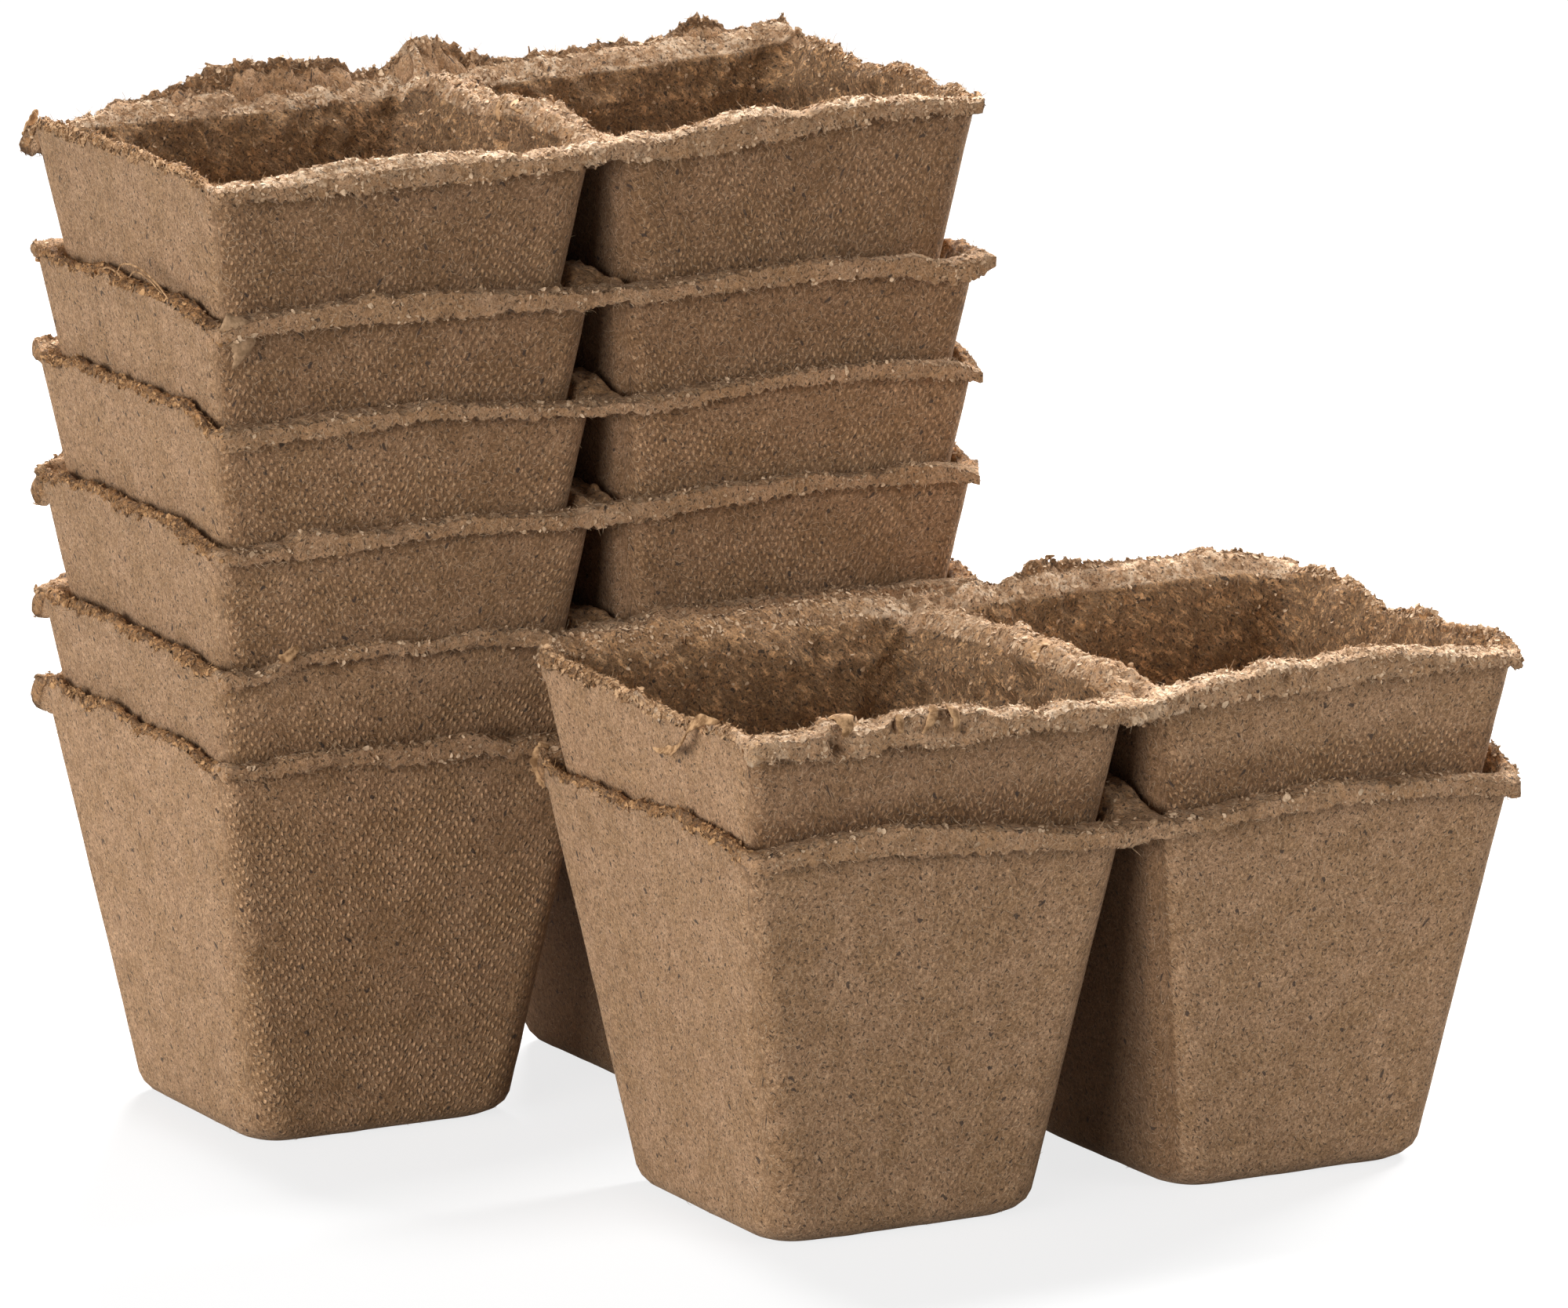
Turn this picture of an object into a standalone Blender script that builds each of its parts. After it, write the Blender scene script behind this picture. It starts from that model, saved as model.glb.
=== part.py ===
"""Two nested stacks of moulded-pulp pot strips, in metres with +Z up.

A strip is one moulding of two square, tapered pots side by side. Their walls lean out, so one strip
drops into the next until wall meets wall. The long sides carry a torn lip, the short ends are torn off
flush, and a ridge joins the two pots at the top.
"""

import math
import random

import bmesh
import bpy
from mathutils import Matrix, Vector

# Driving dimensions of a strip
PITCH = 0.080  # from pot to pot along the strip
BASE_SIDE = 0.0535  # outside of a pot across its base
WALL_SLOPE = 0.157  # how far a wall leans out for each unit of height
CORNER_RADIUS = 0.0075  # outside, on the upright corners
BASE_RADIUS = 0.004  # outside, between base and walls
INSIDE_BASE_RADIUS = 0.002
BASE_THICKNESS = 0.003
DRAIN_DIAMETER = 0.010  # one hole in the middle of each base

# Rim
FRONT_HEIGHT = 0.0733  # from the base to the top of the front lip
END_HEIGHT = 0.0757  # to the top of the end walls and of the ridge, at mid depth
BACK_LEAN = 0.035  # how much the rim climbs for each unit towards the back
LIP_WIDTH = 0.0032  # how far the lip stands out from the wall
LIP_THICKNESS = 0.0030
LIP_ROUNDING = 0.0008  # along the lip's two outer edges
END_STAND = 0.0005  # how far the torn ends stand out from the end walls
MOUTH_DEPTH = 0.0040  # how far below the front lip's top the inside begins to flare
MOUTH_FLARE = 0.0004  # how much wider the flare is at the front lip's top
CORNER_DIP_LENGTH = 0.011  # over which the ends drop to the front lip's height

# Torn edge
TORN_STEP = 0.0078  # length of one facet along the rim
TORN_HEIGHT = 0.0005  # how far the rim wanders up and down
TORN_DEPTH = 0.0007  # how far the lip's edge wanders in and out
TORN_WAVES = 3  # each one shorter and shallower than the last
TORN_STRETCH = (0.6, 1.4)  # least and greatest stretch of a wave
CURL_WANDER = 0.4  # share of the curl that comes and goes along the back

# Nesting
NEST_GAP = 0.0003  # between one strip's outside and the next one's inside where they touch
TOP_WALL = 0.0026  # wall of a strip that nothing is nested in

# How far each strip stands above the one below it, at its left end, middle and right end, and how
# far its torn back edge curls up
LEFT_RISES = (
    (0.0165, 0.0175, 0.0213),
    (0.0226, 0.0227, 0.0218),
    (0.0217, 0.0203, 0.0192),
    (0.0184, 0.0195, 0.0182),
    (0.0232, 0.0252, 0.0297),
)
LEFT_CURLS = (0.0015, 0.0020, 0.0015, 0.0025, 0.0025, 0.0055)
RIGHT_RISES = ((0.0173, 0.0203, 0.0223),)
RIGHT_CURLS = (0.0015, 0.0020)
RIGHT_PLACE = (0.0480, -0.1053)  # the right stack's middle from the left one's
RIGHT_TURN = math.radians(-0.6)
LEFT_SEED = 10
RIGHT_SEED = 30

# Facets
CORNER_FACETS = 4
BASE_FACETS = 2
HOLE_FACETS = 16
SAME = 1e-6  # two lengths closer than this are one

PULP_COLOUR = (0.30, 0.185, 0.105, 1.0)
PULP_ROUGHNESS = 0.9


def clear_scene():
    for each in list(bpy.data.objects):
        bpy.data.objects.remove(each, do_unlink=True)


def new_collection(name, parent):
    made = bpy.data.collections.new(name)
    parent.children.link(made)
    return made


def pulp_material(name):
    """Dull brown pulp, one material for each strip."""
    made = bpy.data.materials.new(name)
    made.use_nodes = True
    shader = made.node_tree.nodes["Principled BSDF"]
    shader.inputs["Base Color"].default_value = PULP_COLOUR
    shader.inputs["Roughness"].default_value = PULP_ROUGHNESS
    shader.inputs["Metallic"].default_value = 0.0
    return made


def half_outside(height):
    """Half of a pot's outer width at a height."""
    return BASE_SIDE / 2 + WALL_SLOPE * height


class Strip:
    """The sizes of one strip: its wall, its bend along the length and its own torn edge."""

    def __init__(self, wall, bend, curl, seed):
        self.wall = wall
        self.bend = bend
        self.curl = curl
        source = random.Random(seed)
        self.waves = [(source.uniform(*TORN_STRETCH), source.uniform(0, math.tau)) for _ in range(TORN_WAVES)]

    def lift(self, x):
        """How far the strip's bend raises it at x, nothing at its middle."""
        left, right = self.bend
        return right * x / PITCH if x > 0 else left * -x / PITCH

    def torn(self, x, y, shift):
        """A wandering between -1 and 1 that follows the rim."""
        total = 0.0
        most = 0.0
        for count, (stretch, phase) in enumerate(self.waves, start=1):
            turn = (x + 2 * y) * stretch * count / (TORN_WAVES * TORN_STEP)
            total += math.sin(turn + phase + shift) / count
            most += 1 / count
        return total / most

    def rim_height(self, x, y):
        """Top of the rim over the base: low along the front, climbing towards the back."""
        inside_front = half_outside(FRONT_HEIGHT) - self.wall
        along = min(max((y + inside_front) / CORNER_DIP_LENGTH, 0.0), 1.0)
        blend = along * along * (3 - 2 * along)
        high = END_HEIGHT + BACK_LEAN * y
        height = FRONT_HEIGHT + (high - FRONT_HEIGHT) * blend
        past_back = min(max((y - half_outside(FRONT_HEIGHT)) / LIP_WIDTH, 0.0), 1.0)
        curl = self.curl * past_back * (1 + CURL_WANDER * self.torn(x, y, 2.0))
        return height + curl + TORN_HEIGHT * self.torn(x, y, 0.0)


def warp(shaped, strip):
    """Raise every vertex of an object by the strip's bend."""
    for vertex in shaped.data.vertices:
        vertex.co.z += strip.lift(vertex.co.x)


def mesh_object(bm, name, home):
    mesh = bpy.data.meshes.new(name)
    bm.to_mesh(mesh)
    bm.free()
    made = bpy.data.objects.new(name, mesh)
    home.objects.link(made)
    return made


def tapered_block(name, home, centre_x, widths, radius, base_radius):
    """A square block through (height, half width) levels, with one radius up all four corners."""
    low, first = widths[0]
    high = widths[-1][0]
    bm = bmesh.new()
    bmesh.ops.create_cube(bm, size=2.0)
    for vertex in bm.verts:
        vertex.co = Vector((vertex.co.x * first, vertex.co.y * first, high if vertex.co.z > 0 else low))
    upright = [e for e in bm.edges if abs(e.verts[0].co.z - e.verts[1].co.z) > SAME]
    bmesh.ops.bevel(bm, geom=upright, offset=radius, segments=CORNER_FACETS, affect="EDGES", profile=0.5)
    for height, _ in widths[1:-1]:
        bmesh.ops.bisect_plane(
            bm, geom=bm.verts[:] + bm.edges[:] + bm.faces[:], plane_co=(0, 0, height), plane_no=(0, 0, 1)
        )
    for vertex in bm.verts:
        half = next(width for height, width in widths if abs(height - vertex.co.z) < SAME)
        vertex.co.x += math.copysign(half - first, vertex.co.x)
        vertex.co.y += math.copysign(half - first, vertex.co.y)
    base = min(bm.faces, key=lambda face: face.calc_center_median().z)
    bmesh.ops.bevel(
        bm, geom=base.edges[:], offset=base_radius, segments=BASE_FACETS, affect="EDGES", profile=0.5
    )
    bmesh.ops.translate(bm, verts=bm.verts, vec=(centre_x, 0, 0))
    return mesh_object(bm, name, home)


def drain_cutter(name, home, centre_x):
    bm = bmesh.new()
    bmesh.ops.create_cone(
        bm, cap_ends=True, segments=HOLE_FACETS, radius1=DRAIN_DIAMETER / 2, radius2=DRAIN_DIAMETER / 2,
        depth=4 * BASE_THICKNESS, matrix=Matrix.Translation((centre_x, 0, 0)),
    )
    return mesh_object(bm, name, home)


def lip_plate(name, home, strip):
    """The rim's slab: lips along the front and back, flush ends, a torn top and outline."""
    half_length = PITCH / 2 + half_outside(FRONT_HEIGHT)
    half_depth = half_outside(FRONT_HEIGHT) + LIP_WIDTH
    outer = half_outside(FRONT_HEIGHT)
    inner = outer - strip.wall
    dip = CORNER_DIP_LENGTH
    rows = (-half_depth, -outer, -inner, dip / 2 - inner, dip - inner, inner, outer, half_depth)
    columns = 2 * round(half_length / TORN_STEP)
    bm = bmesh.new()
    bmesh.ops.create_grid(bm, x_segments=columns, y_segments=len(rows) - 1, size=1.0)
    for vertex in bm.verts:
        vertex.co.x *= half_length
        vertex.co.y = rows[round((vertex.co.y + 1) / 2 * (len(rows) - 1))]
    extruded = bmesh.ops.extrude_face_region(bm, geom=bm.faces[:])
    top = [item for item in extruded["geom"] if isinstance(item, bmesh.types.BMVert)]
    bmesh.ops.translate(bm, verts=top, vec=(0, 0, LIP_THICKNESS))
    bmesh.ops.recalc_face_normals(bm, faces=bm.faces[:])
    lip_edges = [e for e in bm.edges if all(abs(abs(v.co.y) - half_depth) < SAME for v in e.verts)]
    long_edges = [e for e in lip_edges if abs(e.verts[0].co.x - e.verts[1].co.x) > SAME]
    bmesh.ops.bevel(bm, geom=long_edges, offset=LIP_ROUNDING, segments=1, affect="EDGES", profile=0.5)
    for vertex in bm.verts:
        x, y = vertex.co.x, vertex.co.y
        vertex.co.z += strip.rim_height(x, y) - LIP_THICKNESS
        if abs(y) > half_depth - 2 * LIP_ROUNDING:
            vertex.co.y += TORN_DEPTH * strip.torn(x, y, 1.0)
        if abs(abs(x) - half_length) < SAME:
            vertex.co.x = math.copysign(PITCH / 2 + half_outside(vertex.co.z) + END_STAND, x)
    bmesh.ops.triangulate(bm, faces=bm.faces[:])
    made = mesh_object(bm, name, home)
    warp(made, strip)
    return made


def cut(target, tool, operation):
    """Join a tool to the target or cut it out, with the tool kept as a wire guide."""
    step = target.modifiers.new(tool.name, "BOOLEAN")
    step.operation = operation
    step.solver = "EXACT"
    step.object = tool
    tool.parent = target
    tool.hide_render = True
    tool.display_type = "WIRE"


def slice_to_rim(pot):
    """Cut a pot's block off along the middle of the rim's slab, which climbs towards the back."""
    front = half_outside(FRONT_HEIGHT)
    back_height = END_HEIGHT + BACK_LEAN * front
    climb = (back_height - FRONT_HEIGHT) / (2 * front)
    bm = bmesh.new()
    bm.from_mesh(pot.data)
    bmesh.ops.bisect_plane(
        bm, geom=bm.verts[:] + bm.edges[:] + bm.faces[:], clear_outer=True,
        plane_co=(0, -front, FRONT_HEIGHT - LIP_THICKNESS / 2), plane_no=(0, -climb, 1),
    )
    bmesh.ops.holes_fill(bm, edges=[e for e in bm.edges if e.is_boundary])
    bmesh.ops.recalc_face_normals(bm, faces=bm.faces[:])
    bm.to_mesh(pot.data)
    bm.free()


def make_strip(name, strip, home, tools):
    """One moulding: a slab for the rim, joined to two tapered pots, then hollowed and drained."""
    made = lip_plate(name, home, strip)
    above = END_HEIGHT + 3 * MOUTH_DEPTH
    for side, centre_x in (("left", -PITCH / 2), ("right", PITCH / 2)):
        outside = ((0.0, half_outside(0.0)), (above, half_outside(above)))
        pot = tapered_block(f"{name}_{side}_pot", tools, centre_x, outside, CORNER_RADIUS, BASE_RADIUS)
        slice_to_rim(pot)
        warp(pot, strip)
        cut(made, pot, "UNION")
    for side, centre_x in (("left", -PITCH / 2), ("right", PITCH / 2)):
        mouth = FRONT_HEIGHT - MOUTH_DEPTH
        flare = MOUTH_FLARE / MOUTH_DEPTH
        inside = (
            (BASE_THICKNESS, half_outside(BASE_THICKNESS) - strip.wall),
            (mouth, half_outside(mouth) - strip.wall),
            (above, half_outside(above) - strip.wall + flare * (above - mouth)),
        )
        radius = CORNER_RADIUS - strip.wall
        hollow = tapered_block(f"{name}_{side}_hollow", tools, centre_x, inside, radius, INSIDE_BASE_RADIUS)
        drain = drain_cutter(f"{name}_{side}_drain", tools, centre_x)
        for tool in (hollow, drain):
            warp(tool, strip)
            cut(made, tool, "DIFFERENCE")
    made.data.materials.append(pulp_material(name))
    return made


def wall_for(rise):
    """The wall that lets the strip above come to rest at its lowest rise."""
    return WALL_SLOPE * min(rise) - NEST_GAP * math.hypot(1, WALL_SLOPE)


def make_stack(side, rises, curls, first_seed, home, tools):
    """A stack from the ground up, each strip bent and set by how it rides on the one below."""
    stand = bpy.data.objects.new(f"{side}_stack", None)
    home.objects.link(stand)
    left = middle = right = 0.0
    strips = []
    for number, curl in enumerate(curls, start=1):
        if number > 1:
            rise = rises[number - 2]
            left, middle, right = left + rise[0], middle + rise[1], right + rise[2]
        wall = wall_for(rises[number - 1]) if number <= len(rises) else TOP_WALL
        sizes = Strip(wall, (left - middle, right - middle), curl, first_seed + number)
        made = make_strip(f"{side}_strip_{number}", sizes, home, tools)
        made.parent = stand
        made.location = (0, 0, middle)
        strips.append(made)
    return stand, strips


def centre_on_ground(stands, strips):
    """Move both stacks so that the middle of their bounding box stands over the origin."""
    bpy.context.view_layer.update()
    graph = bpy.context.evaluated_depsgraph_get()
    corners = []
    for each in strips:
        shown = each.evaluated_get(graph)
        corners += [shown.matrix_world @ Vector(corner) for corner in shown.bound_box]
    middle = [(min(c[axis] for c in corners) + max(c[axis] for c in corners)) / 2 for axis in (0, 1)]
    for stand in stands:
        stand.location.x -= middle[0]
        stand.location.y -= middle[1]


def build():
    clear_scene()
    root = bpy.context.scene.collection
    home = new_collection("pot_strip_stacks", root)
    tools = new_collection("pot_strip_cutters", root)
    left, left_strips = make_stack("left", LEFT_RISES, LEFT_CURLS, LEFT_SEED, home, tools)
    right, right_strips = make_stack("right", RIGHT_RISES, RIGHT_CURLS, RIGHT_SEED, home, tools)
    right.location = (*RIGHT_PLACE, 0)
    right.rotation_euler.z = RIGHT_TURN
    centre_on_ground((left, right), left_strips + right_strips)


build()
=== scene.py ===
"""Two stacks of torn-edged pulp pot strips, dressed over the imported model, in metres with +Z up."""
import math
import random

import bpy
import numpy as np
from mathutils import Matrix, Vector


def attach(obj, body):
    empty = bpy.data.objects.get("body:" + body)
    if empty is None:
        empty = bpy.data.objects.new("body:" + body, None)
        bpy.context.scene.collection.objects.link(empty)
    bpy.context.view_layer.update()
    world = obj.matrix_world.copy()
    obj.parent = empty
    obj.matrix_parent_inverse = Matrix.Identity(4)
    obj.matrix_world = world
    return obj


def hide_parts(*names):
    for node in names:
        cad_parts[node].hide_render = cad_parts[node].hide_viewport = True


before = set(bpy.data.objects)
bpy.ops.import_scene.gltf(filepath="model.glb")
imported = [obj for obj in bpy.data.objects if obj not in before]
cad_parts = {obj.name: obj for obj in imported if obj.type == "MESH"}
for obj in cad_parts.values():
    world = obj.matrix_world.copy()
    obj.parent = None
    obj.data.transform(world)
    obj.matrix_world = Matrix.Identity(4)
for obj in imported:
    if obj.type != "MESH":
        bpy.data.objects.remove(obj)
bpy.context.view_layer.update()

# Sizes of a strip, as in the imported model
PITCH = 0.080
BASE_SIDE = 0.0535
WALL_SLOPE = 0.157
CORNER_RADIUS = 0.0075
BASE_RADIUS = 0.004
BASE_THICKNESS = 0.003
DRAIN_RADIUS = 0.005
FRONT_HEIGHT = 0.0733
END_HEIGHT = 0.0757
BACK_LEAN = 0.035
LIP_WIDTH = 0.0032
CORNER_DIP_LENGTH = 0.011
TORN_STEP = 0.0078
TORN_HEIGHT = 0.0005
TORN_WAVES = 3
TORN_STRETCH = (0.6, 1.4)
NEST_GAP = 0.0003
TOP_WALL = 0.0026
FLOOR_FILLET = 0.0022
THIN_FROM = 0.0690  # over the base, where inner walls begin to thin
RIM_GUESS = 0.0735  # over the base, from which the rim's true height is found
FRONT_FROM = -0.036  # y up to which bites reach
FRONT_BAND = (-0.0375, -0.0345)  # y over which the front lip goes over into the walls
BACK_BAND = (0.0330, 0.0350)  # y over which the walls go over into the back lip
TIP_STARTS = 0.0690  # how far left of a strip's middle the left end of its back lip begins

# How far each strip stands above the one below it, at its left end, middle and right end
LEFT_RISES = (
    (0.0165, 0.0175, 0.0213),
    (0.0226, 0.0227, 0.0218),
    (0.0217, 0.0203, 0.0192),
    (0.0184, 0.0195, 0.0182),
    (0.0232, 0.0252, 0.0297),
)
RIGHT_RISES = ((0.0173, 0.0203, 0.0223),)
RIGHT_TURN = math.radians(-0.6)
LEFT_SEED = 10
RIGHT_SEED = 30

# Corner radius of a pot at the height of its rim: divider front, divider back, end back and end front
TOP_RADII = {1: (0.0050, 0.0050, 0.0035, 0.0035), -1: (0.0050, 0.0050, 0.0060, 0.0060)}
LEAST_RADIUS = 0.0009

# Columns of the mesh round one pot, four times these
STRAIGHT = 104
CORNER = 20
EDGE_SHARE = 0.84  # of a side of the rim that its straight columns take

# Rows of the mesh: over the rim to its torn edge, down that edge, under the lip, and round the foot
RIM_STEPS = (0.05, 0.11, 0.18, 0.26, 0.34, 0.43, 0.52, 0.61, 0.70, 0.78, 0.86, 0.93, 0.985, 1.0)
EDGE_STEPS = (0.04, 0.22, 0.48, 0.76, 0.96, 1.0)
WEB_TURNS = (1.25, 0.95, 0.65, 0.32)
FOOT_TURNS = (0.4, 0.8, 1.2)
DENSE_ROWS = 0.8  # of a wall's rows, in the part below its rim that has most of them


# Noise

def lattice(cell, seed):
    """A random number from -1 to 1 for each whole-number point."""
    x, y, z = (cell[:, axis].astype(np.uint32) for axis in range(3))
    mixed = x * np.uint32(374761393) + y * np.uint32(668265263) + z * np.uint32(2246822519)
    mixed = mixed + np.uint32(seed * 3266489917 & 0xFFFFFFFF)
    mixed = (mixed ^ (mixed >> np.uint32(13))) * np.uint32(1274126177)
    mixed = (mixed ^ (mixed >> np.uint32(16))) * np.uint32(2654435761)
    mixed = mixed ^ (mixed >> np.uint32(15))
    return mixed.astype(np.float64) / 2147483647.5 - 1.0


def noise(points, size, seed):
    """Smooth noise from -1 to 1 whose features are about size across."""
    scaled = points / size
    cell = np.floor(scaled).astype(np.int64)
    part = scaled - cell
    part = part * part * part * (part * (part * 6 - 15) + 10)
    total = np.zeros(len(points))
    for step in np.ndindex(2, 2, 2):
        weight = np.ones(len(points))
        for axis in range(3):
            weight *= part[:, axis] if step[axis] else 1 - part[:, axis]
        total += weight * lattice(cell + np.array(step), seed)
    return total


def rough(points, size, octaves, seed):
    """Noise with finer noise on it, each octave half the size and half as strong."""
    total = np.zeros(len(points))
    share = 1.0
    for octave in range(octaves):
        total += share * noise(points, size / 2 ** octave, seed + 17 * octave)
        share /= 2
    return total


def smooth(value, low, high):
    """0 up to low, 1 from high on, and an even step between them."""
    part = np.clip((value - low) / (high - low), 0.0, 1.0)
    return part * part * (3 - 2 * part)


def across(x, y):
    """Points on the floor plane, for noise that doesn't vary with height."""
    return np.column_stack([x, y, np.zeros(len(x))])


# The strip's shape

def half_outside(height):
    """Half a pot's width over its outer walls."""
    return BASE_SIDE / 2 + WALL_SLOPE * height


def wall_for(rise):
    """The thickness that leaves the nest gap under a strip that rises so far."""
    return WALL_SLOPE * min(rise) - NEST_GAP * math.hypot(1, WALL_SLOPE)


def table(rows, at, column=1):
    """A value from rows of sizes in millimetres, in metres."""
    places = [row[0] / 1000 for row in rows]
    return np.interp(at, places, [row[column] / 1000 for row in rows])


class Strip:
    """One strip's sizes: its wall, bend and rim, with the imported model's own waves in its torn edge."""

    def __init__(self, name, wall, bend, seed, look):
        self.name = name
        self.wall = wall
        self.bend = bend
        self.seed = seed
        self.look = look
        source = random.Random(seed)
        self.waves = [(source.uniform(*TORN_STRETCH), source.uniform(0, math.tau)) for _ in range(TORN_WAVES)]

    def lift(self, x):
        """How far the strip is bent up over its middle."""
        left, right = self.bend
        return np.where(x > 0, right * x / PITCH, left * -x / PITCH)

    def torn(self, x, y):
        """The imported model's waves in the torn rim, from -1 to 1."""
        total = 0.0
        most = 0.0
        for count, (stretch, phase) in enumerate(self.waves, start=1):
            turn = (x + 2 * y) * stretch * count / (TORN_WAVES * TORN_STEP)
            total = total + np.sin(turn + phase) / count
            most += 1 / count
        return total / most

    def front_rim(self, x):
        """Height of the front wall's inner edge, a little under its lip or crowned over it."""
        over = table(self.look["lip"], x) - FRONT_HEIGHT
        if not self.look["nested"]:
            return FRONT_HEIGHT + over - 0.0003 + table(self.look["crown"], x)
        return FRONT_HEIGHT + np.where(over > 0, 0.45 * over, 0.85 * over)

    def rim_height(self, x, y):
        """Top of the rim over the base, before its curl and its fine tearing."""
        inside_front = half_outside(FRONT_HEIGHT) - self.wall
        blend = smooth(y, -inside_front, CORNER_DIP_LENGTH - inside_front)
        front = self.front_rim(x)
        crest = table(self.look["crest"], y) * (1 - smooth(np.abs(x), 0.004, 0.011))
        end = table(self.look["right_rim"], y) * smooth(x, 0.066, 0.075)
        end = end + table(self.look["left_rim"], y) * smooth(-x, 0.064, 0.074)
        height = front + (END_HEIGHT + BACK_LEAN * y + crest + end - front) * blend
        return height + TORN_HEIGHT * self.torn(x, y)

    def ragged(self, x, y, seed):
        """Fine tearing, about -1 to 1."""
        points = across(x, y)
        return (0.50 * noise(points, 0.0052, self.seed + seed) + 0.45 * noise(points, 0.0021, self.seed + seed + 1)
                + 0.35 * noise(points, 0.0011, self.seed + seed + 2))

    def curl(self, x):
        """How far the torn back edge rises over the rim's line."""
        wander = noise(across(x, x * 0), 0.009, self.seed + 61) + 0.6 * noise(across(x, x * 0), 0.0035, self.seed + 62)
        return table(self.look["back"], x) + self.look["back_wander"] * wander


def columns():
    """Each column's place round a rounded square: (along, arc sine, arc cosine, turn, axes, a, b, side)."""
    rows = []
    axes = (((1, 0), (0, -1)), ((0, 1), (1, 0)), ((-1, 0), (0, 1)), ((0, -1), (-1, 0)))
    for side, (along_axis, out_axis) in enumerate(axes):
        for step in range(STRAIGHT):
            along = -1 + 2 * step / STRAIGHT
            rows.append((along, 0.0, 1.0, 0.0, along_axis, out_axis, along * EDGE_SHARE, 1.0, side))
        for step in range(CORNER):
            turn = math.pi / 2 * step / CORNER
            if step * 2 <= CORNER:
                edge, out = EDGE_SHARE + (1 - EDGE_SHARE) * math.tan(turn), 1.0
            else:
                edge, out = 1.0, EDGE_SHARE + (1 - EDGE_SHARE) / math.tan(turn)
            rows.append((1.0, math.sin(turn), math.cos(turn), turn, along_axis, out_axis, edge, out, side))
    return rows


ALONG, ARC_SINE, ARC_COSINE, ARC_TURN, ALONG_AXIS, OUT_AXIS, EDGE_ALONG, EDGE_OUT, SIDE = (
    np.array(values) for values in zip(*columns()))
COUNT = len(ALONG)
EDGE = ALONG_AXIS * EDGE_ALONG[:, None] + OUT_AXIS * EDGE_OUT[:, None]
MIDDLE = EDGE[:, 0] > 1 - 1e-9  # the columns that end on the line between the two pots
ANGLE = np.arctan2(EDGE[:, 1], EDGE[:, 0])


def radius_at(mirror, height):
    """Each column's corner radius, which sharpens towards the rim."""
    corners = np.array(TOP_RADII[mirror])
    share = (ALONG + 1) / 2
    top = corners[(SIDE - 1) % 4] * (1 - share) + corners[SIDE] * share
    return CORNER_RADIUS + (top - CORNER_RADIUS) * np.clip(height / FRONT_HEIGHT, 0, 1)


def square(half, radius):
    """A rounded square's points, one for each column."""
    along = ALONG * (half - radius) + radius * ARC_SINE
    out = (half - radius) + radius * ARC_COSINE
    return ALONG_AXIS * along[:, None] + OUT_AXIS * out[:, None]


def spaced(count, dense):
    """Steps from 0 to 1; where dense is less than 1, that top share takes most of them."""
    if dense >= 1:
        return np.linspace(0, 1, count)
    low = max(3, round(count * (1 - DENSE_ROWS)))
    return np.concatenate([np.linspace(0, 1 - dense, low, endpoint=False), np.linspace(1 - dense, 1, count - low)])


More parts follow.
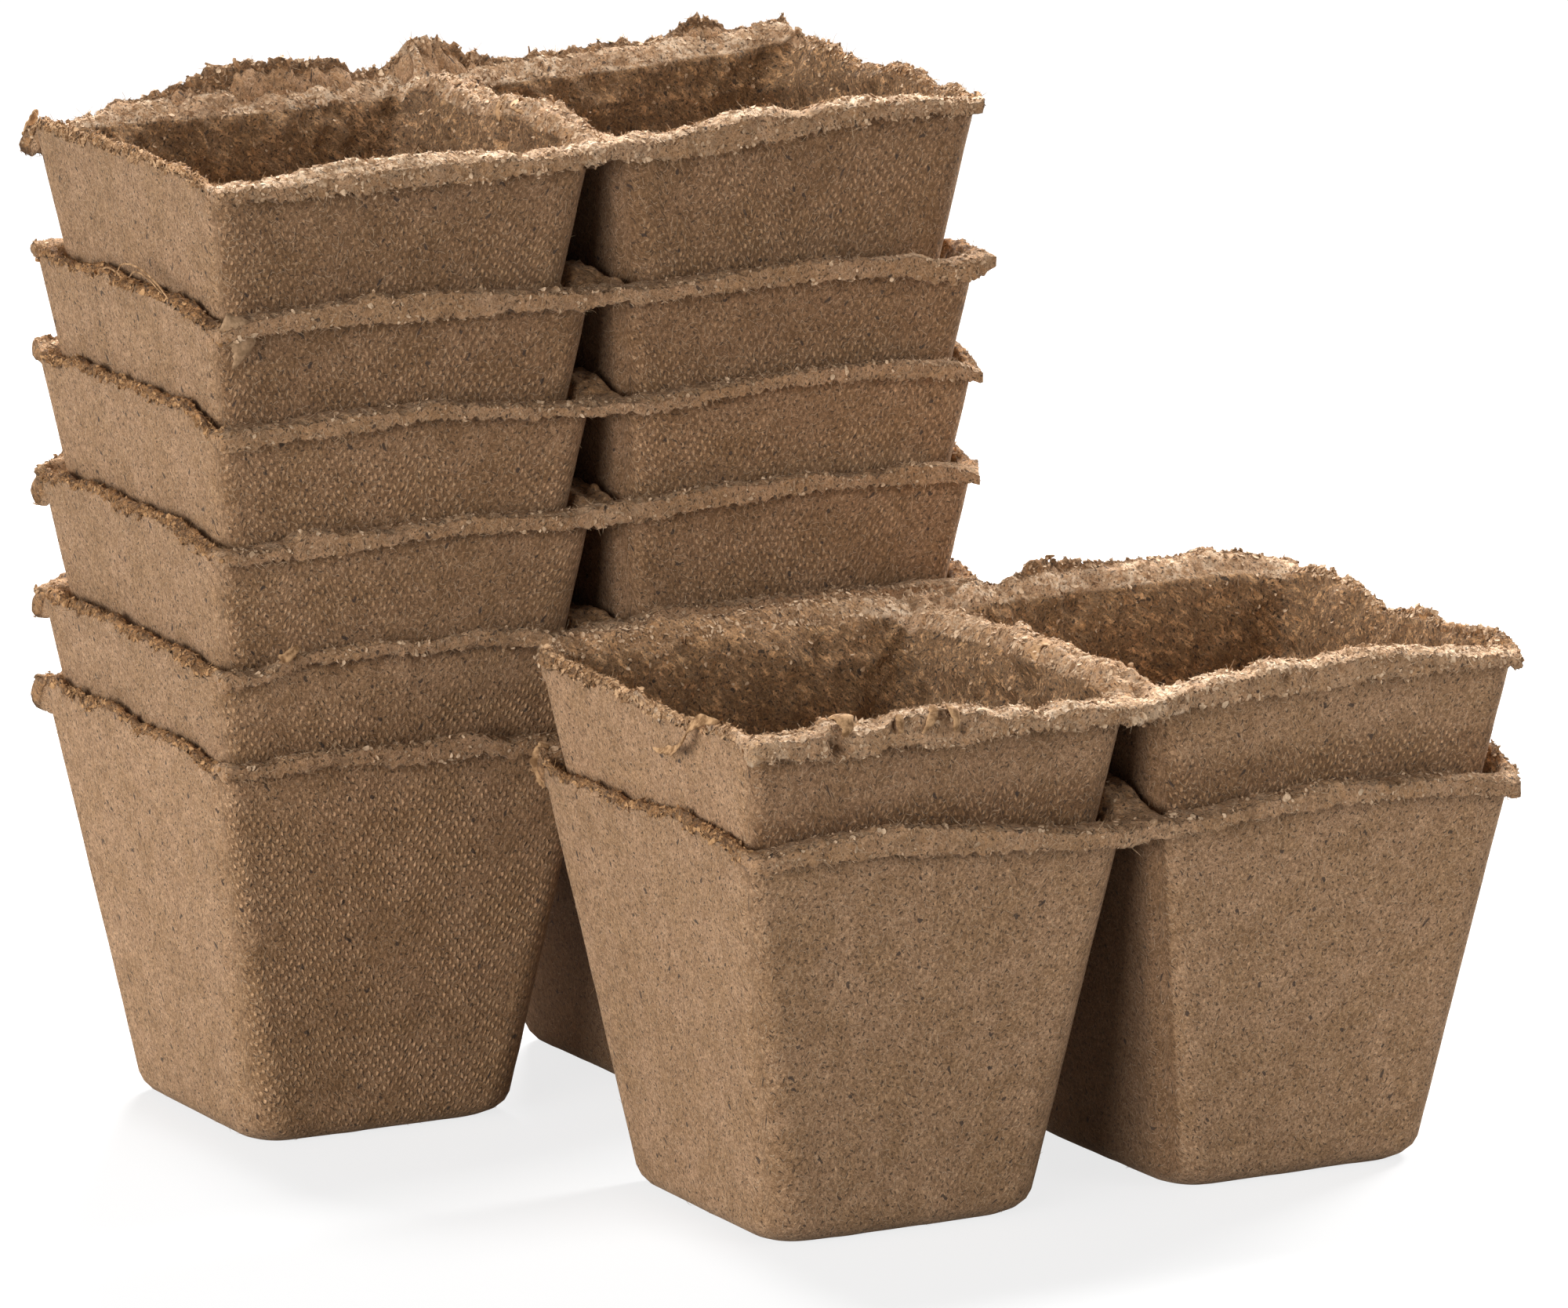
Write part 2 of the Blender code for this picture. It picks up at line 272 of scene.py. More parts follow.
def pot_rows(strip, mirror):
    """Rows of points round one pot, in one closed loop from the drain hole over the rim and back underneath.

    Each row is (points, kind), with x and y from the strip's middle and z from its base."""
    look = strip.look
    centre = -PITCH / 2 * mirror
    rows = []

    def placed(plan, height):
        """Points of the strip, from the pot's own plan."""
        x = centre + mirror * plan[:, 0]
        return np.column_stack([x, plan[:, 1], np.broadcast_to(height, len(plan))])

    def add(plan, height, kind):
        """One more row."""
        rows.append((placed(plan, height), kind))

    circle = DRAIN_RADIUS * np.column_stack([np.cos(ANGLE), np.sin(ANGLE)])
    wall = strip.wall
    fillet = FLOOR_FILLET
    floor = BASE_THICKNESS

    def inner_square(height, inset=0.0):
        """The inner wall, which thins towards its torn rim, more in some places than others."""
        near_rim = np.clip(height - THIN_FROM, 0, None)
        out = half_outside(height) - wall + 0.10 * near_rim - inset
        radius = np.maximum(radius_at(mirror, height) - wall + look["inner_round"], LEAST_RADIUS)
        at = placed(square(out, radius), height)
        open_up = noise(at * [1, 1, 0.6], 0.0060, strip.seed + 71).clip(0, 1)
        return square(out + 0.30 * near_rim * open_up, radius)

    # Floor, from the drain hole to the fillet
    foot = square(half_outside(floor) - wall - fillet, np.full(COUNT, CORNER_RADIUS - wall - fillet * 0.4))
    for share in np.linspace(0, 1, look["floor_rows"]):
        add(circle * (1 - share) + foot * share, floor, "floor")
    for turn in FOOT_TURNS:
        height = floor + fillet * (1 - math.cos(turn))
        add(inner_square(height, fillet * (1 - math.sin(turn))), height, "inner")

    # Rim's outline: x and y of its outer edge
    plan_x = centre + mirror * EDGE[:, 0] * PITCH / 2
    plan_y = EDGE[:, 1] * half_outside(FRONT_HEIGHT)
    back = smooth(EDGE[:, 1], 0.90, 1.0)
    front = smooth(-EDGE[:, 1], 0.90, 1.0)
    ridge = smooth(EDGE[:, 0], 0.90, 1.0)
    fray = strip.ragged(plan_x, plan_y, 40)
    front_lip = table(look["lip_width"], plan_x) + look["lip_fray"] * fray
    lip = front * front_lip + back * (look["back_lip"] + 0.0009 * fray)
    top = strip.rim_height(plan_x, plan_y)
    cut = look["left_in"] * back if mirror == 1 else look["right_cut"] * front
    end_half = half_outside(top) + 0.00020 * fray - cut
    edge_x = np.where(EDGE[:, 0] > 0, EDGE[:, 0] * PITCH / 2, EDGE[:, 0] * end_half)
    edge_y = EDGE[:, 1] * half_outside(FRONT_HEIGHT) + np.sign(EDGE[:, 1]) * lip
    edge_plan = np.column_stack([edge_x, edge_y])
    at_x = placed(edge_plan, 0.0)[:, 0]
    left_tip = smooth(-at_x, TIP_STARTS, look["tip_full"]) * back
    tip_rise, tip_drop = look["tip"]
    lip_top = table(look["lip"], at_x, 1)
    lip_bottom = table(look["lip"], at_x, 2)
    lowered = 0.0 if look["nested"] else 0.0007
    front_change = lip_top - lowered - strip.front_rim(at_x)
    draw = np.random.default_rng(strip.seed * 10 + mirror + 1)
    jag, jag_below = np.where(MIDDLE, 0.0, draw.normal(size=(2, COUNT)).clip(-1.8, 1.8))
    back_change = strip.curl(at_x) + tip_rise * left_tip
    tucked = np.array([0.7, -0.7]) * (0.0015 * left_tip)[:, None]

    # Inner wall, up to where the rim rounds over
    rounding = 0.0010 + 0.0016 * ridge + look["back_rounding"] * back
    reach = 0.30 + 0.25 * ridge + look["back_reach"] * back
    ledge = look["ledge"] * back
    height = np.full(COUNT, RIM_GUESS)
    for _ in range(3):
        at = placed(inner_square(height), 0.0)
        height = strip.rim_height(at[:, 0], at[:, 1]) - rounding
    wall_top = height
    low = floor + fillet
    for share in spaced(look["inner_rows"], look["inner_dense"]):
        height = low + (wall_top - low) * share
        add(inner_square(height), height, "inner")
    inside_edge = rows[-1][0][:, :2].copy()
    inside_edge[:, 0] = (inside_edge[:, 0] - centre) * mirror

    # Over the rim to the torn edge
    other = np.clip(1 - front - back, 0, 1)
    thick = front * (lip_top - lip_bottom) + back * (0.0013 + 0.0006 * fray + tip_drop * left_tip) + 0.0005 * other
    thick = np.maximum(thick, 0.0016 * ridge + 0.0005) + 0.00020 * jag_below
    jag_size = look["jag"] * (0.65 + 0.35 * np.maximum(other, back))
    for share in RIM_STEPS:
        level = share * 1.52 if share < 0.5 else 0.76 + (share - 0.5) * 0.48
        out = (share + (level - share) * ledge)[:, None]
        plan = inside_edge * (1 - out) + edge_plan * out
        at = placed(plan, 0.0)
        fine = (look["fray"] + 0.00062 * other) * strip.ragged(at[:, 0], at[:, 1], 50)
        over = np.clip(1 - share / reach, 0, 1)
        drop = rounding * over * over + 0.0005 * smooth(share, 0.8, 1.0) * (1 - ridge)
        front_rise = front * front_change * smooth(share, 0.30, 0.95)
        level_rise = np.minimum(0.0010, back_change)
        stepped = level_rise * smooth(share, 0.05, 0.50) + (back_change - level_rise) * smooth(share, 0.46, 1.0)
        sloped = back_change * (0.42 * smooth(share, 0.10, 0.65) + 0.58 * smooth(share, 0.62, 1.0))
        back_rise = back * (sloped + (stepped - sloped) * ledge)
        jagged = jag_size * jag * smooth(share, 0.70, 0.95)
        height = strip.rim_height(at[:, 0], at[:, 1]) + fine * smooth(share, 0.0, 0.3) - drop + front_rise + back_rise
        scallop = 0.0011 * other * smooth(share, 0.25, 0.80) * noise(at, 0.0062, strip.seed + 44).clip(-1.0, 0.25)
        plan = plan + tucked * smooth(share, 0.84, 1.0)
        add(plan, height + jagged + scallop, "ledge" if share < 0.5 else "rim")
    top_edge = rows[-1][0]
    untucked = placed(edge_plan, 0.0)[:, :2]
    full = top_edge[:, :2] - untucked

    # Down the torn edge
    for share in EDGE_STEPS:
        points = top_edge.copy()
        points[:, 2] -= thick * share
        points[:, :2] = untucked + full * (1 - math.sqrt(max(0.0, 1 - (2 * share - 1) ** 2)))
        rows.append((points, "edge"))
    bottom_edge = rows[-1][0]

    # Under the lip to the wall
    under = (wall_top + rounding - 0.0026 - tip_drop * left_tip) * (1 - front) + (lip_bottom - 0.0005) * front
    wall_start = square(half_outside(under), radius_at(mirror, under))
    for turn in WEB_TURNS:
        out = 1 - math.cos(turn)
        up = math.sin(turn)
        plan = wall_start * (1 - out) + (edge_plan + tucked) * out
        add(plan, under + (bottom_edge[:, 2] - under) * up, "web")

    # Outer wall, base and the way through the drain hole
    for share in spaced(look["outer_rows"], look["outer_dense"])[::-1]:
        height = BASE_RADIUS + (under - BASE_RADIUS) * share
        add(square(half_outside(height), radius_at(mirror, height)), height, "outer")
    for turn in FOOT_TURNS:
        height = BASE_RADIUS * (1 - math.sin(turn))
        inset = BASE_RADIUS * (1 - math.cos(turn))
        add(square(half_outside(height) - inset, np.full(COUNT, CORNER_RADIUS)), height, "outer")
    under_foot = square(half_outside(0) - BASE_RADIUS * 0.9, np.full(COUNT, CORNER_RADIUS - BASE_RADIUS * 0.5))
    for share in np.linspace(1, 0, look["base_rows"]):
        add(circle * (1 - share) + under_foot * share, 0.0, "base")
    add(circle, floor / 2, "base")
    return rows


KIND = {name: number for number, name in enumerate(("floor", "inner", "ledge", "rim", "edge", "web", "outer", "base"))}
SIDE_AXES = np.array([(1, 0), (0, 1), (-1, 0), (0, -1)], float)


def among(kinds, *names):
    """Whether each point is of one of the kinds named."""
    return np.isin(kinds, [KIND[name] for name in names])


def pot_faces(rows, mirror, shared, offset):
    """Faces of one pot, with each corner's flat coordinates. Rows between the pots are shared with the first."""
    names = [kind for _, kind in rows]
    cloud = np.concatenate([row for row, _ in rows])
    grid = cloud.reshape(len(rows), COUNT, 3)
    index = np.arange(len(rows) * COUNT).reshape(len(rows), COUNT) + offset
    first_edge = max(count for count, kind in enumerate(names) if kind == "rim")
    last_edge = max(count for count, kind in enumerate(names) if kind == "edge")
    for row in range(first_edge, last_edge + 1):
        if mirror == 1:
            shared[row] = index[row].copy()
        else:
            index[row, MIDDLE] = shared[row][MIDDLE]
    after = np.roll(index, -1, axis=0)
    quads = np.stack([index, after, np.roll(after, -1, axis=1), np.roll(index, -1, axis=1)], axis=-1)

    # Flat coordinates: along the side, and along the profile
    step = np.linalg.norm(np.roll(grid, -1, axis=0) - grid, axis=2)
    run = np.concatenate([np.zeros((1, COUNT)), np.cumsum(step, axis=0)[:-1]])
    local = np.stack([(grid[:, :, 0] + PITCH / 2 * mirror) * mirror, grid[:, :, 1]], axis=2)
    side = np.where(ARC_TURN > math.pi / 4 - 1e-6, (SIDE + 1) % 4, SIDE)
    axis = SIDE_AXES[side]
    shift = 0.3 * side + (1.5 if mirror == -1 else 0.0)
    corners = []
    for row_step, column_step in ((0, 0), (1, 0), (1, 1), (0, 1)):
        there = np.roll(np.roll(local, -row_step, axis=0), -column_step, axis=1)
        u = (there * axis).sum(-1) + shift
        v = np.roll(run + row_step * step, -column_step, axis=1)
        corners.append(np.stack([u, v], axis=-1))
    uvs = np.stack(corners, axis=2)
    if mirror == -1:
        quads = quads[..., ::-1]
        uvs = uvs[:, :, ::-1]
    row_number = np.arange(len(rows))[:, None]
    within = (row_number >= first_edge) & (row_number < last_edge)
    kept = ~(within & (MIDDLE & np.roll(MIDDLE, -1))[None, :])
    kinds = np.repeat([KIND[name] for name in names], COUNT)
    return cloud, quads[kept], uvs[kept].reshape(-1, 2), kinds


def pulp_mesh(strip):
    """The whole strip as one closed surface: points, faces, flat coordinates and each point's kind."""
    shared = {}
    points, faces, uvs, kinds = [], [], [], []
    offset = 0
    for mirror in (1, -1):
        found = pot_faces(pot_rows(strip, mirror), mirror, shared, offset)
        for into, what in zip((points, faces, uvs, kinds), found):
            into.append(what)
        offset += len(found[0])
    points, faces, uvs, kinds = (np.concatenate(each) for each in (points, faces, uvs, kinds))
    used, faces = np.unique(faces, return_inverse=True)
    faces = faces.reshape(-1, 4)
    return points[used], faces, uvs, kinds[used]


def normals_of(points, faces):
    """Each point's outward direction."""
    cross = np.cross(points[faces[:, 2]] - points[faces[:, 0]], points[faces[:, 3]] - points[faces[:, 1]])
    total = np.zeros_like(points)
    for corner in range(4):
        for axis in range(3):
            total[:, axis] += np.bincount(faces[:, corner], cross[:, axis], len(points))
    return total / np.maximum(np.linalg.norm(total, axis=1, keepdims=True), 1e-12)


# How far grain moves the surface, in metres: felt on outer walls, and crumbs near the rim on outer and inner walls
FELT_MOVE = 0.00010
OUTER_CRUMBS = 0.00018
INNER_CRUMBS = 0.00025

# Felt inside the pots lies in slanted streaks
STREAK_TURN = np.array([(0.45, 0.0, -0.9), (0.0, 0.45, -0.2), (0.30, 0.2, 1.6)])


def bites_at(look, points):
    """Each bite's depth in millimetres, and how near each point is to its middle: 1 there, 0 or less outside it."""
    for x, z, wide, tall, depth in look["bites"]:
        yield depth, 1 - (((points[:, 0] * 1000 - x) / wide) ** 2 + ((points[:, 2] * 1000 - z) / tall) ** 2)


def dents_at(look, points):
    """The same for each dent."""
    for x, y, z, size, depth in look["dents"]:
        yield depth, 1 - np.sum((points * 1000 - [x, y, z]) ** 2, axis=1) / size ** 2


def roughen(strip, points, faces, kinds):
    """Push the surface in and out: lumpy inside, felted outside, torn and crumbly at the rim."""
    look = strip.look
    x, y, z = points.T
    normals = normals_of(points, faces)
    seed = strip.seed * 100
    below_rim = strip.rim_height(x, y) - z
    is_rim = among(kinds, "ledge", "rim", "edge", "web")
    is_inner = among(kinds, "inner", "floor")
    is_outer = among(kinds, "outer", "base")
    lumps = 0.6 * rough(points, 0.0085, 3, seed) + 0.4 * noise(points, 0.0030, seed + 5)
    folds = 1 - 2 * np.abs(noise(points * [1, 1, 1.5], 0.0070, seed + 11))
    folds = folds + 0.5 * (1 - 2 * np.abs(noise(points, 0.0028, seed + 12)))
    crumbs = 0.5 * noise(points, 0.0036, seed + 7) + 0.5 * noise(points, 0.0017, seed + 8)
    streaks = noise(points @ STREAK_TURN, 0.0026, seed + 14) + 0.6 * noise(points @ STREAK_TURN, 0.0013, seed + 15)
    inner = look["inner_lumps"] * (0.85 * lumps + 0.45 * folds + 0.50 * streaks)
    if look["nested"]:
        hidden = smooth(below_rim, 0.001, 0.006)
        inner = inner * (1 - hidden) - np.abs(inner) * 0.3 * hidden
    move = np.where(is_inner, inner, 0.0)
    middle = 1 - smooth(np.abs(x), 0.004, 0.010)
    torn_back = smooth(y, 0.034, 0.037)
    coarse = np.maximum(middle, torn_back)
    strength = 0.00012 + look["rim_lumps"] * (0.4 + 0.6 * coarse)
    crumb_size = 0.00019 + (0.00014 if not look["nested"] else 0.0) + 0.00020 * coarse
    move = np.where(is_rim, crumb_size * crumbs + strength * (lumps + 0.5 * folds), move)
    felt = 0.5 * (noise(points, 0.012, seed + 9) + noise(points, 0.0042, seed + 10) - 2)
    move = np.where(is_outer, FELT_MOVE * felt, move)
    # The rim's roughness fades into the walls
    near = 1 - smooth(np.abs(below_rim), 0.0005, 0.0050)
    move = np.where(is_outer, move + OUTER_CRUMBS * near * crumbs, move)
    move = np.where(is_inner, move + INNER_CRUMBS * near * crumbs, move)
    moved = points + normals * move[:, None]
    # Bites out of the front lip
    for depth, close in bites_at(look, points):
        bite = np.where((y < FRONT_FROM) & (close > 0), close ** 2, 0.0)
        moved[:, 1] += depth / 1000 * bite
    # Dents and torn lumps elsewhere
    for depth, close in dents_at(look, points):
        moved -= normals * (depth / 1000 * close.clip(0, 1) ** 1.5)[:, None]
    moved[:, 2] = np.maximum(moved[:, 2], 0.0)
    return moved


def placed_in_stack(strip, points):
    """From the strip's own place to its place in the scene."""
    x, y, z = points.T
    z = z + strip.lift(x) + strip.middle
    cosine, sine = math.cos(strip.turn), math.sin(strip.turn)
    return np.column_stack([strip.place[0] + cosine * x - sine * y, strip.place[1] + sine * x + cosine * y, z])


def surface_piece(name, points, faces, uvs=None, masks=None, smooth_faces=True):
    """A mesh piece from arrays."""
    mesh = bpy.data.meshes.new(name)
    mesh.vertices.add(len(points))
    mesh.vertices.foreach_set("co", points.astype(np.float32).ravel())
    sides = faces.shape[1]
    mesh.loops.add(faces.size)
    mesh.loops.foreach_set("vertex_index", faces.astype(np.int32).ravel())
    mesh.polygons.add(len(faces))
    mesh.polygons.foreach_set("loop_start", np.arange(0, faces.size, sides, dtype=np.int32))
    mesh.polygons.foreach_set("loop_total", np.full(len(faces), sides, np.int32))
    mesh.polygons.foreach_set("use_smooth", np.full(len(faces), smooth_faces))
    if uvs is not None:
        layer = mesh.uv_layers.new(name="flat")
        layer.data.foreach_set("uv", uvs.astype(np.float32).ravel())
    for mask, values in (masks or {}).items():
        attribute = mesh.attributes.new(mask, "FLOAT", "POINT")
        attribute.data.foreach_set("value", values.astype(np.float32))
    mesh.update()
    mesh.validate()
    made = bpy.data.objects.new(name, mesh)
    bpy.context.scene.collection.objects.link(made)
    return made


FIBRE_COUNT = 4200
FIBRE_RINGS = 4
FIBRE_WANDER = 0.5
FIBRE_LENGTHS = (0.0005, 0.0022)
FIBRE_RADII = (0.000028, 0.000068)
FLAKE_SIDES = 7
FLAKE_SIZES = (0.00020, 0.00062)
SHRED_STEPS = 5  # from one point of a shred's path to the next
SHRED_OFFSETS = np.linspace(-0.5, 0.5, 5)  # across a shred, as shares of its width


def tube(rings, around):
    """Faces of a tube of so many rings, each of so many points."""
    faces = []
    for start in range(0, (rings - 1) * around, around):
        for side in range(around):
            here, there = start + side, start + (side + 1) % around
            faces += [(here, there, there + around), (here, there + around, here + around)]
    return faces


def repeated(places, faces):
    """Points and faces of many like pieces, from the places of each of their points and the faces of one."""
    points = np.stack(places, axis=1)
    count, each = points.shape[:2]
    every = np.array(faces)[None] + (np.arange(count) * each)[:, None, None]
    return points.reshape(-1, 3), every.reshape(-1, 3)


def fibre_mesh(roots, directions, lengths, radii, seed):
    """Many short, bent fibres, each a closed three-sided tube that tapers to a point."""
    draw = np.random.default_rng(seed)
    count = len(roots)
    helper = np.where(np.abs(directions[:, 2:3]) < 0.9, [[0.0, 0.0, 1.0]], [[1.0, 0.0, 0.0]])
    first = np.cross(directions, helper)
    first /= np.linalg.norm(first, axis=1, keepdims=True)
    second = np.cross(directions, first)
    turn = draw.uniform(0, math.tau, count)
    bend = first * np.cos(turn)[:, None] + second * np.sin(turn)[:, None]
    beside = np.cross(directions, bend)
    curve = draw.uniform(0.15, 1.0, count) * FIBRE_WANDER
    twist = draw.uniform(-0.6, 0.6, count) * FIBRE_WANDER
    points = []
    for step in range(FIBRE_RINGS + 1):
        t = step / FIBRE_RINGS
        centre = roots + directions * (lengths * t * (1 - 0.25 * curve * t))[:, None]
        centre = centre + bend * (lengths * curve * t * t)[:, None]
        centre = centre + beside * (lengths * twist * math.sin(t * 2.6) * 0.5)[:, None]
        if step == FIBRE_RINGS:
            points.append(centre)
            continue
        size = radii * (1.0 - 0.7 * t)
        for side in range(3):
            angle = math.tau * side / 3
            points.append(centre + (first * math.cos(angle) + second * math.sin(angle)) * size[:, None])
    last = (FIBRE_RINGS - 1) * 3
    tip = [(last + side, last + (side + 1) % 3, FIBRE_RINGS * 3) for side in range(3)]
    return repeated(points, [(0, 2, 1)] + tube(FIBRE_RINGS, 3) + tip)


def unit(vectors):
    """Vectors of length 1."""
    return vectors / np.maximum(np.linalg.norm(vectors, axis=1, keepdims=True), 1e-9)


def flake_mesh(centres, normals, sizes, seed):
    """Many thin torn flakes, each a closed, bent, ragged disc lying near the surface it peels from."""
    draw = np.random.default_rng(seed)
    count = len(centres)
    tilt = unit(normals + 0.45 * draw.normal(size=(count, 3)))
    helper = unit(draw.normal(size=(count, 3)))
    first = unit(np.cross(tilt, helper))
    second = np.cross(tilt, first)
    stretch = draw.uniform(0.45, 1.0, count)
    bend = draw.uniform(-0.2, 0.9, count)
    thick = sizes * 0.08 + 0.00004
    edge = []
    for side in range(FLAKE_SIDES):
        angle = math.tau * side / FLAKE_SIDES
        reach = sizes * draw.uniform(0.55, 1.15, count)
        along = math.cos(angle) * reach
        aside = math.sin(angle) * reach * stretch
        edge.append((along, aside, bend * along * along / np.maximum(sizes, 1e-6) * 0.6))
    rings = []
    for half in (0.5, -0.5):
        for along, aside, lift in edge:
            rings.append(centres + first * along[:, None] + second * aside[:, None]
                         + tilt * (lift + half * thick * 0.5)[:, None])
        rings.append(centres + tilt * (half * thick * 1.4)[:, None])
    faces = []
    middle_top, middle_low = FLAKE_SIDES, 2 * FLAKE_SIDES + 1
    for side in range(FLAKE_SIDES):
        after = (side + 1) % FLAKE_SIDES
        low, low_after = FLAKE_SIDES + 1 + side, FLAKE_SIDES + 1 + after
        faces += [(side, after, middle_top), (low_after, low, middle_low)]
        faces += [(side, low, low_after), (side, low_after, after)]
    return repeated(rings, faces)


def shred_mesh(path, widths, across_axis, thickness, seed):
    """A torn shred: a thin closed band along a path, with ragged edges."""
    draw = np.random.default_rng(seed)
    path = np.array(path, float)
    steps = SHRED_STEPS * (len(path) - 1) + 1
    at = np.linspace(0, len(path) - 1, steps)
    smooth_path = np.column_stack([np.interp(at, range(len(path)), path[:, axis]) for axis in range(3)])
    for _ in range(3):
        smooth_path[1:-1] = (smooth_path[:-2] + 2 * smooth_path[1:-1] + smooth_path[2:]) / 4
    wide = np.interp(at, range(len(widths)), widths) * draw.uniform(0.8, 1.2, steps)
    ahead = unit(np.gradient(smooth_path, axis=0))
    across_axis = np.array(across_axis, float)
    beside = unit(across_axis - ahead * (ahead @ across_axis)[:, None])
    up = np.cross(ahead, beside)
    rows = []
    for side in (1, -1):
        for offset in SHRED_OFFSETS[::side]:
            cup = 0.35 * (0.25 - offset * offset) * wide
            rows.append(smooth_path + beside * (offset * wide)[:, None] + up * (cup + side * thickness / 2)[:, None])
    points = np.stack(rows, axis=1)
    around = len(rows)
    faces = tube(steps, around)
    last = (steps - 1) * around
    for side in range(1, around - 1):
        faces += [(0, side + 1, side), (last, last + side, last + side + 1)]
    return points.reshape(-1, 3), np.array(faces)


def joined(parts):
    """Several (points, faces) as one."""
    points, faces, offset = [], [], 0
    for part_points, part_faces in parts:
        points.append(part_points)
        faces.append(part_faces + offset)
        offset += len(part_points)
    return np.concatenate(points), np.concatenate(faces)


# Nodes and materials

MASKS = ("torn", "inside", "lip", "print", "painted_shade")
DOT_STEPS = (0.00156, 0.00250)  # of the wire screen, along a wall and up it
DOT_HEIGHT = 0.00018
FELT_HEIGHT = 0.00021
COARSE_FELT_HEIGHT = 0.00019
STREAK_HEIGHT = 0.00075
FLECK_HEIGHT = 0.00005
SHRED_HEIGHT = 0.00012

PULP_BASE = (0.400, 0.240, 0.130)
# Painted highlight on the lip and ledge
PAINTED_HIGHLIGHT = (0.76, 0.57, 0.395)
# Stain of the torn ends; on the back lip's thin torn edge, also a painted glow of light through the pulp
RUST_AND_GLOW = ((0.17, 0.075, 0.025), (0.60, 0.30, 0.115))
SHRED_RUST = ((0.20, 0.095, 0.033), (0.56, 0.29, 0.105))

# What multiplies the pulp's colour
# Painted shade in the hollows between the screen's dots
GAP_PAINTED_SHADE_TINT = (0.70, 0.65, 0.58)  # between the screen's dots
# Dots lighter: partly dust, partly painted highlight on their tops
DOT_DUST_AND_HIGHLIGHT_TINT = (1.76, 1.80, 1.78)
INSIDE_TINT = (1.62, 1.54, 1.34)
STREAK_TINT = (0.56, 0.51, 0.46)  # between the pale streaks of the felt
# Lighter lip: partly dust, partly painted highlight
LIP_DUST_AND_HIGHLIGHT_TINT = (1.32, 1.36, 1.40)
# Painted shade: under the front lip, between the pots, on the top strips' back flange, in bites and dents, and on the
# front walls
PAINTED_SHADE_TINT = (0.46, 0.40, 0.35)

# Tints that a noise picks between: its scale, detail and roughness, where its ramp starts and ends, both tints
GRAINS = (
    (330, 4.0, 0.65, 0.34, 0.66, (0.88, 0.86, 0.84), (1.11, 1.12, 1.14)),
    (110, 3.0, 0.60, 0.36, 0.64, (0.95, 0.94, 0.91), (1.08, 1.09, 1.13)),
    (1400, 4.0, 0.75, 0.34, 0.68, (0.68, 0.65, 0.62), (1.24, 1.26, 1.29)),
    (3600, 2.0, 0.60, 0.35, 0.68, (0.80, 0.79, 0.78), (1.20, 1.21, 1.22)),
)

# Straw, then bark: cell, length and half width in metres, seed, share of the cells, strength and colour
FLECKS = (
    (0.00190, 0.00150, 0.000085, 3, 0.80, 0.50, (0.64, 0.46, 0.30)),
    (0.00105, 0.00070, 0.000065, 5, 0.75, 0.42, (0.60, 0.42, 0.27)),
    (0.00175, 0.00050, 0.00020, 1, 0.72, 0.80, (0.062, 0.038, 0.025)),
    (0.00088, 0.00027, 0.00014, 2, 0.75, 0.66, (0.085, 0.054, 0.036)),
    (0.00700, 0.00075, 0.00040, 7, 0.40, 0.82, (0.045, 0.032, 0.028)),
)


def node(tree, kind, inputs=(), **values):
    """A new node of a kind, with its values, and with its inputs set or linked."""
    made = tree.nodes.new("ShaderNode" + kind)
    for name, value in values.items():
        setattr(made, name, value)
    for name, value in dict(inputs).items():
        slot = made.inputs[name]
        if isinstance(value, bpy.types.NodeSocket):
            tree.links.new(value, slot)
        else:
            slot.default_value = (*value, 1.0) if slot.type == "RGBA" else value
    return made


